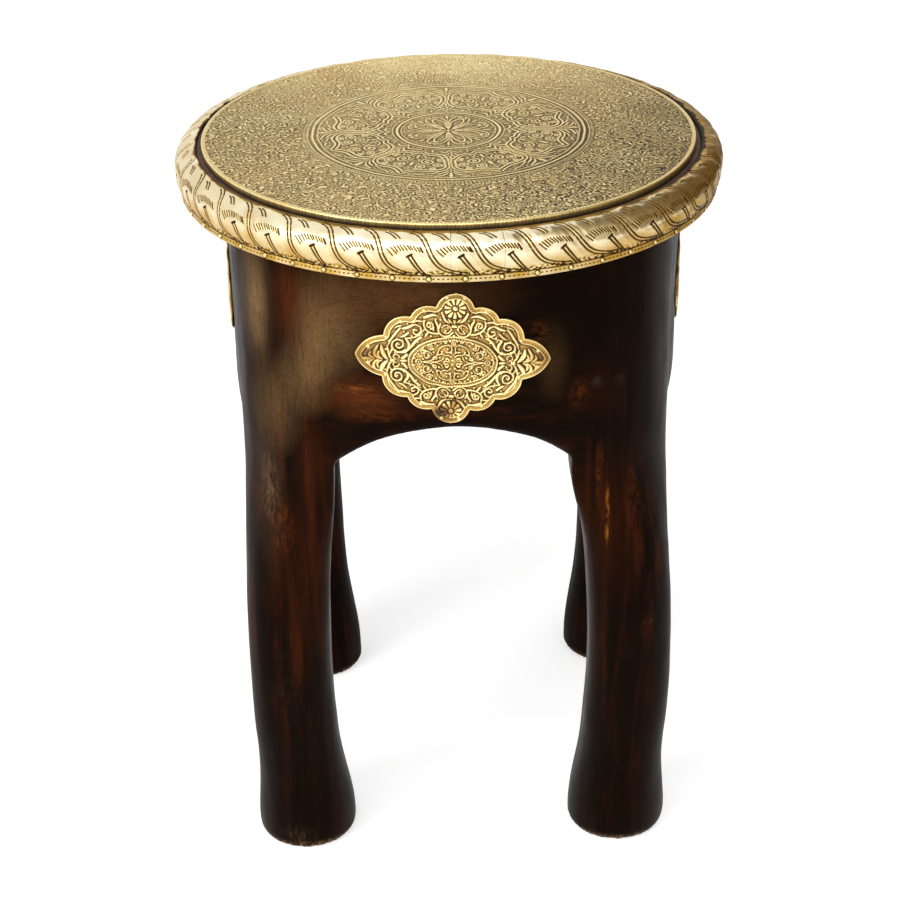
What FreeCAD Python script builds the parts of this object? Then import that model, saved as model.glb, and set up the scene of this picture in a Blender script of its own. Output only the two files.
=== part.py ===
import FreeCAD, Part
import math
import os
import re

import Sketcher

# Round stool: four carved wooden legs, four arched aprons and a bullnosed round top,
# dressed with embossed brass sheet. Millimetres, +Z up, the front faces -Y.
# The origin is on the floor under the middle of the seat.

Vector = FreeCAD.Vector
doc = FreeCAD.newDocument("RoundStool")

# Driving dimensions: name, value, meaning
SIZES = (
    ("stool_height", 404.0, "floor to the brass seat face"),
    ("seat_diameter", 305.0, "across the widest part of the rim"),
    ("rim_width", 15.2, "seat's edge to the raised disc, over its brass"),
    ("disc_rise", 2.0, "seat face above the crest of the rim"),
    ("rim_height", 24.5, "crest of the rim to the underside of the top board"),
    ("brass_sheet", 0.6, "thickness of all the embossed sheet"),
    ("glue_line", 0.15, "between curved brass and the wood behind it"),
    ("groove_width", 2.4, "gap between the disc and the rim"),
    ("groove_depth", 2.0, "floor of that gap below the crest"),
    ("crest_inset", 10.5, "crest inside the seat's edge"),
    ("widest_drop", 12.0, "widest part of the rim below the crest"),
    ("flange_inset", 2.5, "nailed flange inside the seat's edge"),
    ("flange_height", 3.6, "nailed flange at the foot of the rim"),
    ("lip_round", 0.9, "rounded edge of the seat sheet"),
    ("closing_start", -1.0, "degrees from the front to the closing strip"),
    ("closing_turn", 10.2, "degrees of rim that the closing strip covers"),
    ("seam_turn", 0.06, "degrees left open at each seam of the rim"),
    ("rim_pin_count", 51, "brass pins round the flange"),
    ("pin_shank_radius", 0.5, "brass pins"),
    ("pin_head_radius", 1.2, "brass pins"),
    ("pin_head_rise", 0.8, "dome of a brass pin"),
    ("pin_length", 7.0, "brass pins below the head"),
    ("seat_overhang", 34.0, "seat's edge outside the outer faces of the legs"),
    ("foot_inset", 26.0, "middle of a foot inside the outer faces of the legs"),
    ("foot_width", 57.0, "leg at the floor"),
    ("shank_width", 47.5, "leg at its narrowest"),
    ("leg_top_width", 51.5, "leg where the aprons join it"),
    ("shank_splay", 5.0, "outward bow of the legs at their narrowest"),
    ("foot_chamfer", 2.5, "worn lower edge of the feet"),
    ("stray_front_left_x", -0.3, "front left foot, outward off the square plan"),
    ("stray_front_left_y", 0.2, "front left foot, outward off the square plan"),
    ("stray_front_right_x", 0.5, "front right foot, outward off the square plan"),
    ("stray_front_right_y", 0.2, "front right foot, outward off the square plan"),
    ("stray_back_left_x", -2.3, "back left foot, outward off the square plan"),
    ("stray_back_left_y", -5.5, "back left foot, outward off the square plan"),
    ("stray_back_right_x", 11.5, "back right foot, outward off the square plan"),
    ("stray_back_right_y", 5.0, "back right foot, outward off the square plan"),
    ("apron_crown_depth", 97.0, "apron at the crown of its arch"),
    ("arch_rise", 24.0, "springing to crown of the arch"),
    ("apron_thickness", 28.0, "apron at its ends"),
    ("arch_round", 5.0, "rounded outer edge of the arch"),
    ("bulge_front", 7.0, "outward swell of the front apron"),
    ("bulge_right", 10.0, "outward swell of the right apron"),
    ("bulge_back", 7.0, "outward swell of the back apron"),
    ("bulge_left", 6.5, "outward swell of the left apron"),
    ("medallion_side_margin", 15.5, "tip of a medallion to the end of its apron"),
    ("medallion_top_margin", 16.0, "top board to the upper lobe of a medallion"),
    ("medallion_crown_margin", 5.0, "lower lobe of a medallion to the crown of the arch"),
    ("tilt_front", 3.0, "degrees that the front medallion hangs askew"),
    ("tilt_right", -1.5, "degrees that the right medallion hangs askew"),
    ("tilt_back", 1.0, "degrees that the back medallion hangs askew"),
    ("tilt_left", 2.0, "degrees that the left medallion hangs askew"),
    ("shift_front", -1.7, "front medallion off the middle of its apron"),
    ("shift_right", 1.0, "right medallion off the middle of its apron"),
    ("shift_back", 0.8, "back medallion off the middle of its apron"),
    ("shift_left", -1.2, "left medallion off the middle of its apron"),
    ("dowel_radius", 4.0, "joint dowels"),
    ("dowel_length", 40.0, "joint dowels, half in each part"),
    ("dowel_drop", 30.0, "upper dowel below the top board"),
    ("dowel_pitch", 56.0, "upper to lower dowel"),
    ("screw_radius", 2.4, "shank of the top screws"),
    ("screw_head_radius", 4.8, "head of the top screws"),
    ("screw_head_height", 3.2, "countersunk head of the top screws"),
    ("screw_length", 50.0, "top screws, over all"),
    ("leg_screw_inset", 20.0, "top screws from both glue faces of a leg"),
    ("overrun", 5.0, "cuts past the wood that they cut"),
)

sheet = doc.addObject("Spreadsheet::Sheet", "Sizes")
for row, (alias, value, meaning) in enumerate(SIZES, start=1):
    sheet.set("A%d" % row, meaning)
    sheet.set("B%d" % row, str(value))
    sheet.setAlias("B%d" % row, alias)
doc.recompute()

# Formulas that several pieces share
SEAT_RADIUS = "(seat_diameter / 2)"
CREST = "(stool_height - disc_rise)"
CREST_RADIUS = "(seat_diameter / 2 - crest_inset)"
WIDEST = "(stool_height - disc_rise - widest_drop)"
BOARD_UNDER = "(stool_height - disc_rise - rim_height)"
GROOVE_FLOOR = "(stool_height - disc_rise - groove_depth)"
FLANGE_RADIUS = "(seat_diameter / 2 - flange_inset)"
FLANGE_TOP = "(stool_height - disc_rise - rim_height + flange_height)"
SPRINGING = "(stool_height - disc_rise - rim_height - apron_crown_depth - arch_rise)"
DISC_RADIUS = "(seat_diameter / 2 - rim_width)"
FRAME = "(seat_diameter / 2 - seat_overhang)"
GLUE_FACE = "(%s - leg_top_width)" % FRAME
LEG_TOP_CENTRE = "(%s - leg_top_width / 2)" % FRAME
DOWEL_LINE = "(%s - apron_thickness / 2)" % FRAME
MEDALLION_HALF_WIDTH = "(%s - medallion_side_margin)" % GLUE_FACE
MEDALLION_HEIGHT = "(apron_crown_depth - medallion_top_margin - medallion_crown_margin)"
MEDALLION_MIDDLE = "(%s - medallion_top_margin - %s / 2)" % (BOARD_UNDER, MEDALLION_HEIGHT)

# How a leg changes from floor to springing, as shares:
# of the height, the foot's extra width, the top's extra width, the splay, the stray
LEG_STATION_SHARES = (
    (0.00, 1.00, 0.00, 0.00, 1.00),
    (0.06, 0.98, 0.00, 0.05, 1.00),
    (0.13, 0.58, 0.00, 0.22, 1.00),
    (0.21, 0.18, 0.00, 0.52, 1.00),
    (0.31, 0.04, 0.00, 0.82, 1.00),
    (0.46, 0.00, 0.00, 1.00, 0.94),
    (0.63, 0.00, 0.02, 0.90, 0.66),
    (0.78, 0.00, 0.22, 0.48, 0.30),
    (0.88, 0.00, 0.68, 0.15, 0.09),
    (0.95, 0.00, 0.94, 0.03, 0.02),
    (1.00, 0.00, 1.00, 0.00, 0.00),
)
# Corner roundings at the same stations, as shares of the leg's width:
# outer corner, the two side corners, inner corner
LEG_CORNER_SHARES = (
    (0.49, 0.49, 0.49),
    (0.49, 0.49, 0.49),
    (0.47, 0.46, 0.45),
    (0.44, 0.42, 0.40),
    (0.42, 0.40, 0.36),
    (0.42, 0.38, 0.33),
    (0.46, 0.35, 0.30),
    (0.58, 0.24, 0.24),
    (0.76, 0.11, 0.17),
    (0.89, 0.03, 0.13),
    (0.93, 0.01, 0.12),
)
# A quarter of the medallion's outline, as shares of its half width and half height:
# the tip, two notches between lobes, and the notch beside the top lobe
MEDALLION_CORNER_SHARES = ((1.0, 0.0), (0.715, 0.316), (0.45, 0.616), (0.195, 0.779))
# Radii of the lobes between them and of the top lobe, as shares of the line across each
MEDALLION_LOBE_SHARES = (0.92, 0.66, 0.72, 0.513)
# Where pins go in a quarter of the medallion, as shares of its half width and half height
MEDALLION_PIN_SHARES = ((0.86, 0.12), (0.68, 0.28), (0.54, 0.53), (0.31, 0.71), (0.09, 0.92))

# Each leg: name, side along X, side along Y, how its foot strays
LEGS = (
    ("leg_front_left", -1, -1, "stray_front_left_x", "stray_front_left_y"),
    ("leg_front_right", 1, -1, "stray_front_right_x", "stray_front_right_y"),
    ("leg_back_left", -1, 1, "stray_back_left_x", "stray_back_left_y"),
    ("leg_back_right", 1, 1, "stray_back_right_x", "stray_back_right_y"),
)
# Each face of the stool: name, quarter turns from the front, its apron's swell,
# and how its medallion is tilted and shifted
FACES = (
    ("front", 0, "bulge_front", "tilt_front", "shift_front"),
    ("right", 1, "bulge_right", "tilt_right", "shift_right"),
    ("back", 2, "bulge_back", "tilt_back", "shift_back"),
    ("left", 3, "bulge_left", "tilt_left", "shift_left"),
)
QUARTER_TURN = 90.0
FULL_TURN = 360.0
HALF = 0.5
# Two heights count as one when they differ by less than this share of the stool's height
LEVEL_SHARE = 0.00001


# Formulas and sketches

def formula(text):
    """Point every size that a formula names at its cell."""
    names = "|".join(alias for alias, value, meaning in SIZES)
    return re.sub(r"\b(%s)\b" % names, r"Sizes.\1", text)


def measure(text):
    """The present value of a formula."""
    return float(sheet.evalExpression(formula(text)))


def add_body(label):
    body = doc.addObject("PartDesign::Body", label)
    body.Label = label
    return body


def add_sketch(body, name, role, lift="0"):
    """An empty sketch on one of the body's own planes, lifted along its normal."""
    sketch = body.newObject("Sketcher::SketchObject", name)
    planes = [part for part in body.Origin.OriginFeatures if part.Role == role]
    sketch.AttachmentSupport = (planes[0], "")
    sketch.MapMode = "FlatFace"
    sketch.setExpression("AttachmentOffset.Base.z", formula(lift))
    return sketch


def tie(sketch, constraint, text):
    """Add a dimension to a sketch and bind it to a formula."""
    index = sketch.addConstraint(constraint)
    sketch.setExpression("Constraints[%d]" % index, formula(text))


def round_side(start, end, radius, outward):
    """An anticlockwise arc between two points that swells to the right of the way, or left."""
    middle = (start + end) * 0.5
    way = end - start
    side = Vector(way.y, -way.x, 0).normalize() * outward
    reach = math.sqrt(max(radius ** 2 - (way.Length / 2) ** 2, 0))
    top = middle + side * (radius - reach)
    return Part.Arc(start, top, end) if outward > 0 else Part.Arc(end, top, start)


def draw(sketch, corners, sides):
    """Draw a closed outline: corners as pairs of formulas, each side straight or round.

    A round side is a pair: the formula of its radius, and 1 to swell to the right
    of the way round or -1 to swell to the left."""
    points = [Vector(measure(x), measure(y), 0) for x, y in corners]
    ends = []
    for index, side in enumerate(sides):
        start, end = points[index], points[(index + 1) % len(points)]
        if side is None:
            ends.append((sketch.addGeometry(Part.LineSegment(start, end)), 1, 2))
            continue
        radius, outward = side
        edge = sketch.addGeometry(round_side(start, end, measure(radius), outward))
        ends.append((edge, 1, 2) if outward > 0 else (edge, 2, 1))
        tie(sketch, Sketcher.Constraint("Radius", edge, measure(radius)), radius)
    for index, (edge, first, last) in enumerate(ends):
        before, before_first, before_last = ends[index - 1]
        sketch.addConstraint(Sketcher.Constraint("Coincident", before, before_last, edge, first))
        for kind, axis, text in zip(("DistanceX", "DistanceY"), (-2, -1), corners[index]):
            if text == "0":
                sketch.addConstraint(Sketcher.Constraint("PointOnObject", edge, first, axis))
            else:
                size = Sketcher.Constraint(kind, -1, 1, edge, first, measure(text))
                tie(sketch, size, text)
    return sketch


def turn_about_z(thing, degrees):
    """Turn a piece about the stool's axis by a formula in degrees."""
    thing.Placement = FreeCAD.Placement(Vector(), Vector(0, 0, 1), QUARTER_TURN)
    thing.setExpression("Placement.Rotation.Angle", formula(degrees))


def revolve(body, sketch, axis="V_Axis", degrees="%g" % FULL_TURN):
    turned = body.newObject("PartDesign::Revolution", sketch.Name + "_turned")
    turned.Profile = sketch
    turned.ReferenceAxis = (sketch, [axis])
    turned.setExpression("Angle", formula(degrees))
    sketch.Visibility = False
    return turned


def pad(body, sketch, length):
    grown = body.newObject("PartDesign::Pad", sketch.Name + "_pad")
    grown.Profile = sketch
    grown.setExpression("Length", formula(length))
    grown.Refine = False
    return grown


def cut(label, base, tool):
    """The base with seats cut for the pieces that it holds."""
    result = doc.addObject("Part::Cut", label)
    result.Base = base
    result.Tool = tool
    result.Label = label
    return result


def gather(label, links):
    """Separate solids kept together under one name."""
    group = doc.addObject("Part::Compound", label)
    group.Links = links
    group.Label = label
    return group


def driven_pins(label, feet):
    """Domed brass pins, each at a point of a face and square to it, and bores to match."""
    shank_radius, head_radius = measure("pin_shank_radius"), measure("pin_head_radius")
    rise, length = measure("pin_head_rise"), measure("pin_length")
    dome_radius = measure(arc_radius("pin_head_rise", "pin_head_radius"))
    up = Vector(0, 0, 1)
    shank = Part.makeCylinder(shank_radius, length, up * -length)
    dome = Part.makeSphere(dome_radius, up * (rise - dome_radius))
    solids = {
        label: shank.fuse(Part.makeCylinder(head_radius, rise).common(dome)),
        label + "_bores": Part.makeCylinder(shank_radius, length + rise, up * -length),
    }
    groups = []
    for name, solid in solids.items():
        copies = []
        for foot, outward in feet:
            place = FreeCAD.Placement(foot, FreeCAD.Rotation(up, outward))
            copies.append(solid.transformed(place.toMatrix()))
        group = doc.addObject("Part::Feature", name)
        group.Shape = Part.makeCompound(copies)
        group.Label = name
        groups.append(group)
    return groups


# Wooden top

def top_board_blank():
    """Bullnosed round board, stepped in under the disc and along the flange."""
    body = add_body("top_board_blank")
    edge = "(%s - brass_sheet - glue_line)" % FLANGE_RADIUS
    widest = "(%s - brass_sheet - glue_line)" % SEAT_RADIUS
    crest = "(%s - brass_sheet - glue_line)" % CREST
    shelf = "(%s + groove_width + brass_sheet + glue_line)" % DISC_RADIUS
    corners = [
        ("0", BOARD_UNDER), (edge, BOARD_UNDER), (edge, FLANGE_TOP), (widest, WIDEST),
        (CREST_RADIUS, crest), (shelf, GROOVE_FLOOR), ("0", GROOVE_FLOOR),
    ]
    sides = [None, None] + rim_curves(edge, widest, crest, shelf) + [None, None]
    sketch = draw(add_sketch(body, "board_section", "XZ_Plane"), corners, sides)
    revolve(body, sketch)
    return body


def arc_radius(across, along):
    """Radius of an arc that starts along one direction and ends this far across it."""
    return "((%s)^2 + (%s)^2) / (2 * (%s))" % (across, along, across)


def rim_curves(edge, widest, crest, shelf):
    """The three round sides of the rim, from the flange up and over to the groove."""
    lower = arc_radius("%s - %s" % (widest, edge), "%s - %s" % (WIDEST, FLANGE_TOP))
    upper = arc_radius("%s - %s" % (crest, WIDEST), "%s - %s" % (widest, CREST_RADIUS))
    inner = arc_radius("%s - %s" % (crest, GROOVE_FLOOR), "%s - %s" % (CREST_RADIUS, shelf))
    return [(lower, 1), (upper, 1), (inner, 1)]


def seat_disc():
    """Thin wooden disc that raises the seat above the rim."""
    body = add_body("seat_disc")
    radius = "(%s - brass_sheet)" % DISC_RADIUS
    top = "(stool_height - brass_sheet)"
    corners = [("0", GROOVE_FLOOR), (radius, GROOVE_FLOOR), (radius, top), ("0", top)]
    sketch = draw(add_sketch(body, "disc_section", "XZ_Plane"), corners, [None] * len(corners))
    revolve(body, sketch)
    return body


def brass_top_sheet():
    """Seat sheet, turned down round the edge of the disc."""
    body = add_body("brass_top_sheet")
    inside = "(%s - brass_sheet)" % DISC_RADIUS
    flat = "(%s - lip_round)" % DISC_RADIUS
    under = "(stool_height - brass_sheet)"
    corners = [
        ("0", under), (inside, under), (inside, GROOVE_FLOOR), (DISC_RADIUS, GROOVE_FLOOR),
        (DISC_RADIUS, "stool_height - lip_round"), (flat, "stool_height"), ("0", "stool_height"),
    ]
    sides = [None, None, None, None, ("lip_round", 1), None, None]
    sketch = draw(add_sketch(body, "sheet_section", "XZ_Plane"), corners, sides)
    revolve(body, sketch)
    return body


# Brass rim

def rim_strip(label, start, turn):
    """Embossed strip bent over the bullnose, from the groove down to its nailed flange."""
    body = add_body(label)
    inner_edge = "(%s - brass_sheet)" % FLANGE_RADIUS
    inner_widest = "(%s - brass_sheet)" % SEAT_RADIUS
    inner_crest = "(%s - brass_sheet)" % CREST
    inner_shelf = "(%s + groove_width + brass_sheet)" % DISC_RADIUS
    shelf = "(%s + groove_width)" % DISC_RADIUS
    outer = [
        (FLANGE_RADIUS, BOARD_UNDER), (FLANGE_RADIUS, FLANGE_TOP), (SEAT_RADIUS, WIDEST),
        (CREST_RADIUS, CREST), (shelf, GROOVE_FLOOR),
    ]
    inner = [
        (inner_shelf, GROOVE_FLOOR), (CREST_RADIUS, inner_crest), (inner_widest, WIDEST),
        (inner_edge, FLANGE_TOP), (inner_edge, BOARD_UNDER),
    ]
    over = rim_curves(FLANGE_RADIUS, SEAT_RADIUS, CREST, shelf)
    under = rim_curves(inner_edge, inner_widest, inner_crest, inner_shelf)
    back = [(radius, -1) for radius, outward in reversed(under)]
    sides = [None] + over + [None] + back + [None, None]
    sketch = draw(add_sketch(body, label + "_section", "XZ_Plane"), outer + inner, sides)
    revolve(body, sketch, degrees=turn)
    turn_about_z(body, "%s - %g" % (start, QUARTER_TURN))
    return body


def rim_pins():
    """Brass pins driven through the flange into the edge of the board."""
    radius = measure(FLANGE_RADIUS)
    height = measure("%s + flange_height / 2" % BOARD_UNDER)
    count = round(measure("rim_pin_count"))
    feet = []
    for index in range(count):
        angle = 2 * math.pi * (index + HALF) / count
        outward = Vector(math.cos(angle), math.sin(angle), 0)
        feet.append((outward * radius + Vector(0, 0, height), outward))
    return driven_pins("rim_pins", feet)


# Legs

def leg_section(body, name, side_x, side_y, strays, shares, corner_shares, lift, trim="0"):
    """One level section of a leg: a square with its own rounding at each corner."""
    height, foot_share, top_share, splay_share, stray_share = shares
    full = ("(shank_width + (foot_width - shank_width) * %g + (leg_top_width - shank_width) * %g)"
            % (foot_share, top_share))
    outward = ("((%s - foot_inset) * %g + %s * %g + shank_splay * %g"
               % (FRAME, 1 - top_share, LEG_TOP_CENTRE, top_share, splay_share))
    width = "(%s - 2 * %s)" % (full, trim)
    middles = ["%s + %s * %g)" % (outward, stray, stray_share) for stray in strays]
    low = ["(%s - %s / 2)" % (middle, width) for middle in middles]
    high = ["(%s + %s / 2)" % (middle, width) for middle in middles]
    outer, side, inner = ["(%s * %g)" % (width, share) for share in corner_shares]

    def at(x, y):
        return ("%d * (%s)" % (side_x, x), "%d * (%s)" % (side_y, y))

    corners = [
        at(low[0] + " + " + inner, low[1]), at(high[0] + " - " + side, low[1]),
        at(high[0], low[1] + " + " + side), at(high[0], high[1] + " - " + outer),
        at(high[0] + " - " + outer, high[1]), at(low[0] + " + " + side, high[1]),
        at(low[0], high[1] + " - " + side), at(low[0], low[1] + " + " + inner),
    ]
    swell = side_x * side_y
    sides = [None, (side, swell), None, (outer, swell), None, (side, swell), None, (inner, swell)]
    return draw(add_sketch(body, name, "XY_Plane", lift), corners, sides)


def leg_blank(label, side_x, side_y, *strays):
    """A carved leg: worn round foot, slimmer bowed shank and a squared head with glue faces."""
    body = add_body(label + "_blank")
    place = (side_x, side_y, strays)
    stations = list(zip(LEG_STATION_SHARES, LEG_CORNER_SHARES))
    foot, top = stations[0], stations[-1]
    sole = leg_section(body, label + "_sole", *place, *foot, "0", "foot_chamfer")
    sections = []
    for index, (shares, corner_shares) in enumerate(stations):
        lift = "foot_chamfer + (%s - foot_chamfer) * %g" % (SPRINGING, shares[0])
        name = "%s_section_%d" % (label, index)
        sections.append(leg_section(body, name, *place, shares, corner_shares, lift))
    spans = (("_worn_foot", sole, sections[:1]), ("_shaft", sections[0], sections[1:]))
    for name, below, above in spans:
        loft = body.newObject("PartDesign::AdditiveLoft", label + name)
        loft.Profile = below
        loft.Sections = above
        loft.Refine = False
        doc.recompute()
    head = leg_section(body, label + "_head", *place, *top, SPRINGING)
    pad(body, head, "%s - %s" % (BOARD_UNDER, SPRINGING))
    return body


# Aprons

def swell_radius(bulge):
    """Radius of an apron's outer face, seen from above."""
    return arc_radius(bulge, GLUE_FACE)


def apron_blank(side, quarter, bulge):
    """An apron: outer face swelling between the legs, arch cut from below."""
    label = "apron_" + side
    body = add_body(label + "_blank")
    outside, inside = "-" + FRAME, "-(%s - apron_thickness)" % FRAME
    left, right = "-" + GLUE_FACE, GLUE_FACE
    plan = add_sketch(body, label + "_plan", "XY_Plane", SPRINGING)
    corners = [(left, outside), (right, outside), (right, inside), (left, inside)]
    draw(plan, corners, [(swell_radius(bulge), 1), None, None, None])
    pad(body, plan, "%s - %s" % (BOARD_UNDER, SPRINGING))
    arch = add_sketch(body, label + "_arch", "XZ_Plane")
    below = "%s - overrun" % SPRINGING
    corners = [(right, SPRINGING), (left, SPRINGING), (left, below), (right, below)]
    draw(arch, corners, [(arc_radius("arch_rise", GLUE_FACE), 1), None, None, None])
    opened = body.newObject("PartDesign::Pocket", label + "_opened")
    opened.Profile = arch
    opened.setExpression("Length", formula("%s + %s + overrun" % (FRAME, bulge)))
    opened.Reversed = True
    doc.recompute()
    edges = []
    for index, edge in enumerate(body.Shape.Edges):
        lift = max(abs(vertex.Z - measure(SPRINGING)) for vertex in edge.Vertexes)
        level = lift < measure("stool_height") * LEVEL_SHARE
        outermost = edge.CenterOfMass.y < measure(outside)
        if level and outermost and edge.Length > measure(GLUE_FACE):
            edges.append("Edge%d" % (index + 1))
    rounded = body.newObject("PartDesign::Fillet", label + "_rounded")
    rounded.Base = (opened, edges)
    rounded.setExpression("Radius", formula("arch_round"))
    turn_about_z(body, "%g" % (quarter * QUARTER_TURN))
    return body


# Medallions

def medallion_outline():
    """Corners of the lobed outline, right tip first and anticlockwise, and its lobes' radii."""
    first = list(MEDALLION_CORNER_SHARES)
    second = [(-x, z) for x, z in reversed(first)]
    third = [(-x, -z) for x, z in first]
    fourth = [(x, -z) for x, z in reversed(first)]
    corners = first + second + third[1:] + fourth[:-1]
    lobes = list(MEDALLION_LOBE_SHARES)
    radii = []
    for index, share in enumerate((lobes + lobes[-2::-1]) * 2):
        (x, z), (next_x, next_z) = corners[index], corners[(index + 1) % len(corners)]
        across = "%s * %g" % (MEDALLION_HALF_WIDTH, next_x - x)
        up = "%s / 2 * %g" % (MEDALLION_HEIGHT, next_z - z)
        radii.append("%g * sqrt((%s)^2 + (%s)^2)" % (share, across, up))
    return corners, radii


def medallion_place(share_x, share_z, tilt, shift):
    """Formulas of a point of the medallion, laid out flat, clockwise tilt positive."""
    across = "(%s * %g)" % (MEDALLION_HALF_WIDTH, share_x)
    up = "(%s / 2 * %g)" % (MEDALLION_HEIGHT, share_z)
    x = "%s + %s * cos(%s) + %s * sin(%s)" % (shift, across, tilt, up, tilt)
    z = "%s + %s * cos(%s) - %s * sin(%s)" % (MEDALLION_MIDDLE, up, tilt, across, tilt)
    return x, z


def swell_cylinder(name, radius, bulge):
    """An upright cylinder about the axis of an apron's outer face."""
    cylinder = doc.addObject("Part::Cylinder", name)
    cylinder.setExpression("Radius", formula(radius))
    cylinder.setExpression("Height", formula("%s + 2 * overrun" % MEDALLION_HEIGHT))
    cylinder.setExpression("Placement.Base.y", formula(
        "%s - %s - %s" % (swell_radius(bulge), FRAME, bulge)))
    cylinder.setExpression("Placement.Base.z", formula(
        "%s - %s / 2 - overrun" % (MEDALLION_MIDDLE, MEDALLION_HEIGHT)))
    return cylinder


def medallion_blank(side, quarter, bulge, tilt, shift):
    """Embossed sheet cut to the lobed outline and bent to the apron's swell."""
    label = "medallion_" + side
    outline = doc.addObject("Sketcher::SketchObject", label + "_outline")
    outline.Placement = FreeCAD.Placement(Vector(), Vector(1, 0, 0), QUARTER_TURN)
    shares, radii = medallion_outline()
    corners = [medallion_place(x, z, tilt, shift) for x, z in shares]
    back = "%s + glue_line" % swell_radius(bulge)
    draw(outline, corners, [(radius, 1) for radius in radii])
    prism = doc.addObject("Part::Extrusion", label + "_prism")
    prism.Base = outline
    prism.DirMode = "Custom"
    prism.Dir = Vector(0, -1, 0)
    prism.Solid = True
    prism.setExpression("LengthFwd", formula("%s + %s + overrun" % (FRAME, bulge)))
    outer = swell_cylinder(label + "_outer", back + " + brass_sheet", bulge)
    inner = swell_cylinder(label + "_inner", back, bulge)
    shell = doc.addObject("Part::Cut", label + "_shell")
    shell.Base = outer
    shell.Tool = inner
    blank = doc.addObject("Part::Common", label + "_blank")
    blank.Base = shell
    blank.Tool = prism
    turn_about_z(blank, "%g" % (quarter * QUARTER_TURN))
    return blank


def medallion_pins(side, quarter, bulge, tilt, shift):
    """Brass pins through the border of a medallion, square to the apron's swell."""
    radius = measure(swell_radius(bulge))
    axis_y = radius - measure(FRAME) - measure(bulge)
    over = radius + measure("glue_line + brass_sheet")
    turn = FreeCAD.Rotation(Vector(0, 0, 1), quarter * QUARTER_TURN)
    feet = []
    for share_x, share_z in MEDALLION_PIN_SHARES:
        for sign_x, sign_z in ((1, 1), (-1, 1), (-1, -1), (1, -1)):
            place = medallion_place(sign_x * share_x, sign_z * share_z, tilt, shift)
            x, z = measure(place[0]), measure(place[1])
            outward = Vector(x, -math.sqrt(radius ** 2 - x ** 2), 0).normalize()
            foot = outward * over + Vector(0, axis_y, z)
            feet.append((turn.multVec(foot), turn.multVec(outward)))
    return driven_pins("medallion_pins_" + side, feet)


# Hidden fastenings

def joint_dowels():
    """Two dowels in every joint between an apron and a leg."""
    dowels = []
    for side, quarter, bulge, tilt, shift in FACES:
        for end in (-1, 1):
            for place in (0, 1):
                dowel = doc.addObject("Part::Cylinder", "dowel_%s_%d" % (side, len(dowels)))
                dowel.setExpression("Radius", formula("dowel_radius"))
                dowel.setExpression("Height", formula("dowel_length"))
                turn = FreeCAD.Rotation(Vector(0, 0, 1), quarter * QUARTER_TURN)
                lay = FreeCAD.Rotation(Vector(0, 1, 0), QUARTER_TURN)
                dowel.Placement = FreeCAD.Placement(Vector(), turn * lay)
                along = "(%d * %s - dowel_length / 2)" % (end, GLUE_FACE)
                across = "(-1 * %s)" % DOWEL_LINE
                ways = (turn.multVec(Vector(1, 0, 0)), turn.multVec(Vector(0, 1, 0)))
                for axis in ("x", "y"):
                    parts = [getattr(way, axis) for way in ways]
                    text = "%d * %s + %d * %s" % (round(parts[0]), along, round(parts[1]), across)
                    dowel.setExpression("Placement.Base." + axis, formula(text))
                drop = "%s - dowel_drop - dowel_pitch * %d" % (BOARD_UNDER, place)
                dowel.setExpression("Placement.Base.z", formula(drop))
                dowels.append(dowel)
    return gather("joint_dowels", dowels)


def top_screws(label, reach, start):
    """Four countersunk screws down through the top board, under the disc."""
    body = add_body(label)
    body.AllowCompound = True
    tip = "%s - screw_length" % GROOVE_FLOOR
    neck = "%s - screw_head_height" % GROOVE_FLOOR
    sketch = add_sketch(body, label + "_section", "XZ_Plane")
    corners = [
        (reach, tip), ("%s + screw_radius" % reach, tip + " + 2 * screw_radius"),
        ("%s + screw_radius" % reach, neck), ("%s + screw_head_radius" % reach, GROOVE_FLOOR),
        (reach, GROOVE_FLOOR),
    ]
    draw(sketch, corners, [None] * len(corners))
    first = revolve(body, sketch, axis="Edge5")
    ring = body.newObject("PartDesign::PolarPattern", label + "_ring")
    ring.Originals = [first]
    ring.Axis = (sketch, ["V_Axis"])
    ring.Angle = FULL_TURN
    ring.Occurrences = len(FACES)
    body.Tip = ring
    turn_about_z(body, "%g" % start)
    return body


# Assembly

pins, pin_bores = rim_pins()
leg_screw_reach = "((%s + leg_screw_inset) * sqrt(2))" % GLUE_FACE
leg_screws = top_screws("leg_screws", leg_screw_reach, QUARTER_TURN * HALF)
apron_screws = top_screws("apron_screws", DOWEL_LINE, 0)
dowels = joint_dowels()
frame_fastenings = gather("frame_fastenings", [leg_screws, apron_screws, dowels])
board_fastenings = gather("board_fastenings", [leg_screws, apron_screws, pin_bores])

pieces = [pins, leg_screws, apron_screws, dowels, seat_disc(), brass_top_sheet()]
pieces.append(cut("top_board", top_board_blank(), board_fastenings))
long_start = "(closing_start + closing_turn + seam_turn)"
long_turn = "(%g - closing_turn - 2 * seam_turn)" % FULL_TURN
cladding = rim_strip("rim_cladding_blank", long_start, long_turn)
closing = rim_strip("rim_closing_blank", "closing_start", "closing_turn")
pieces.append(cut("rim_cladding", cladding, pin_bores))
pieces.append(cut("rim_closing_strip", closing, pin_bores))
for name, side_x, side_y, stray_x, stray_y in LEGS:
    blank = leg_blank(name, side_x, side_y, stray_x, stray_y)
    pieces.append(cut(name, blank, frame_fastenings))
for side, quarter, bulge, tilt, shift in FACES:
    studs, stud_bores = medallion_pins(side, quarter, bulge, tilt, shift)
    medallion = medallion_blank(side, quarter, bulge, tilt, shift)
    held = gather("apron_fastenings_" + side, [frame_fastenings, stud_bores])
    pieces.append(studs)
    pieces.append(cut("medallion_" + side, medallion, stud_bores))
    pieces.append(cut("apron_" + side, apron_blank(side, quarter, bulge), held))
doc.recompute()

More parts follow.
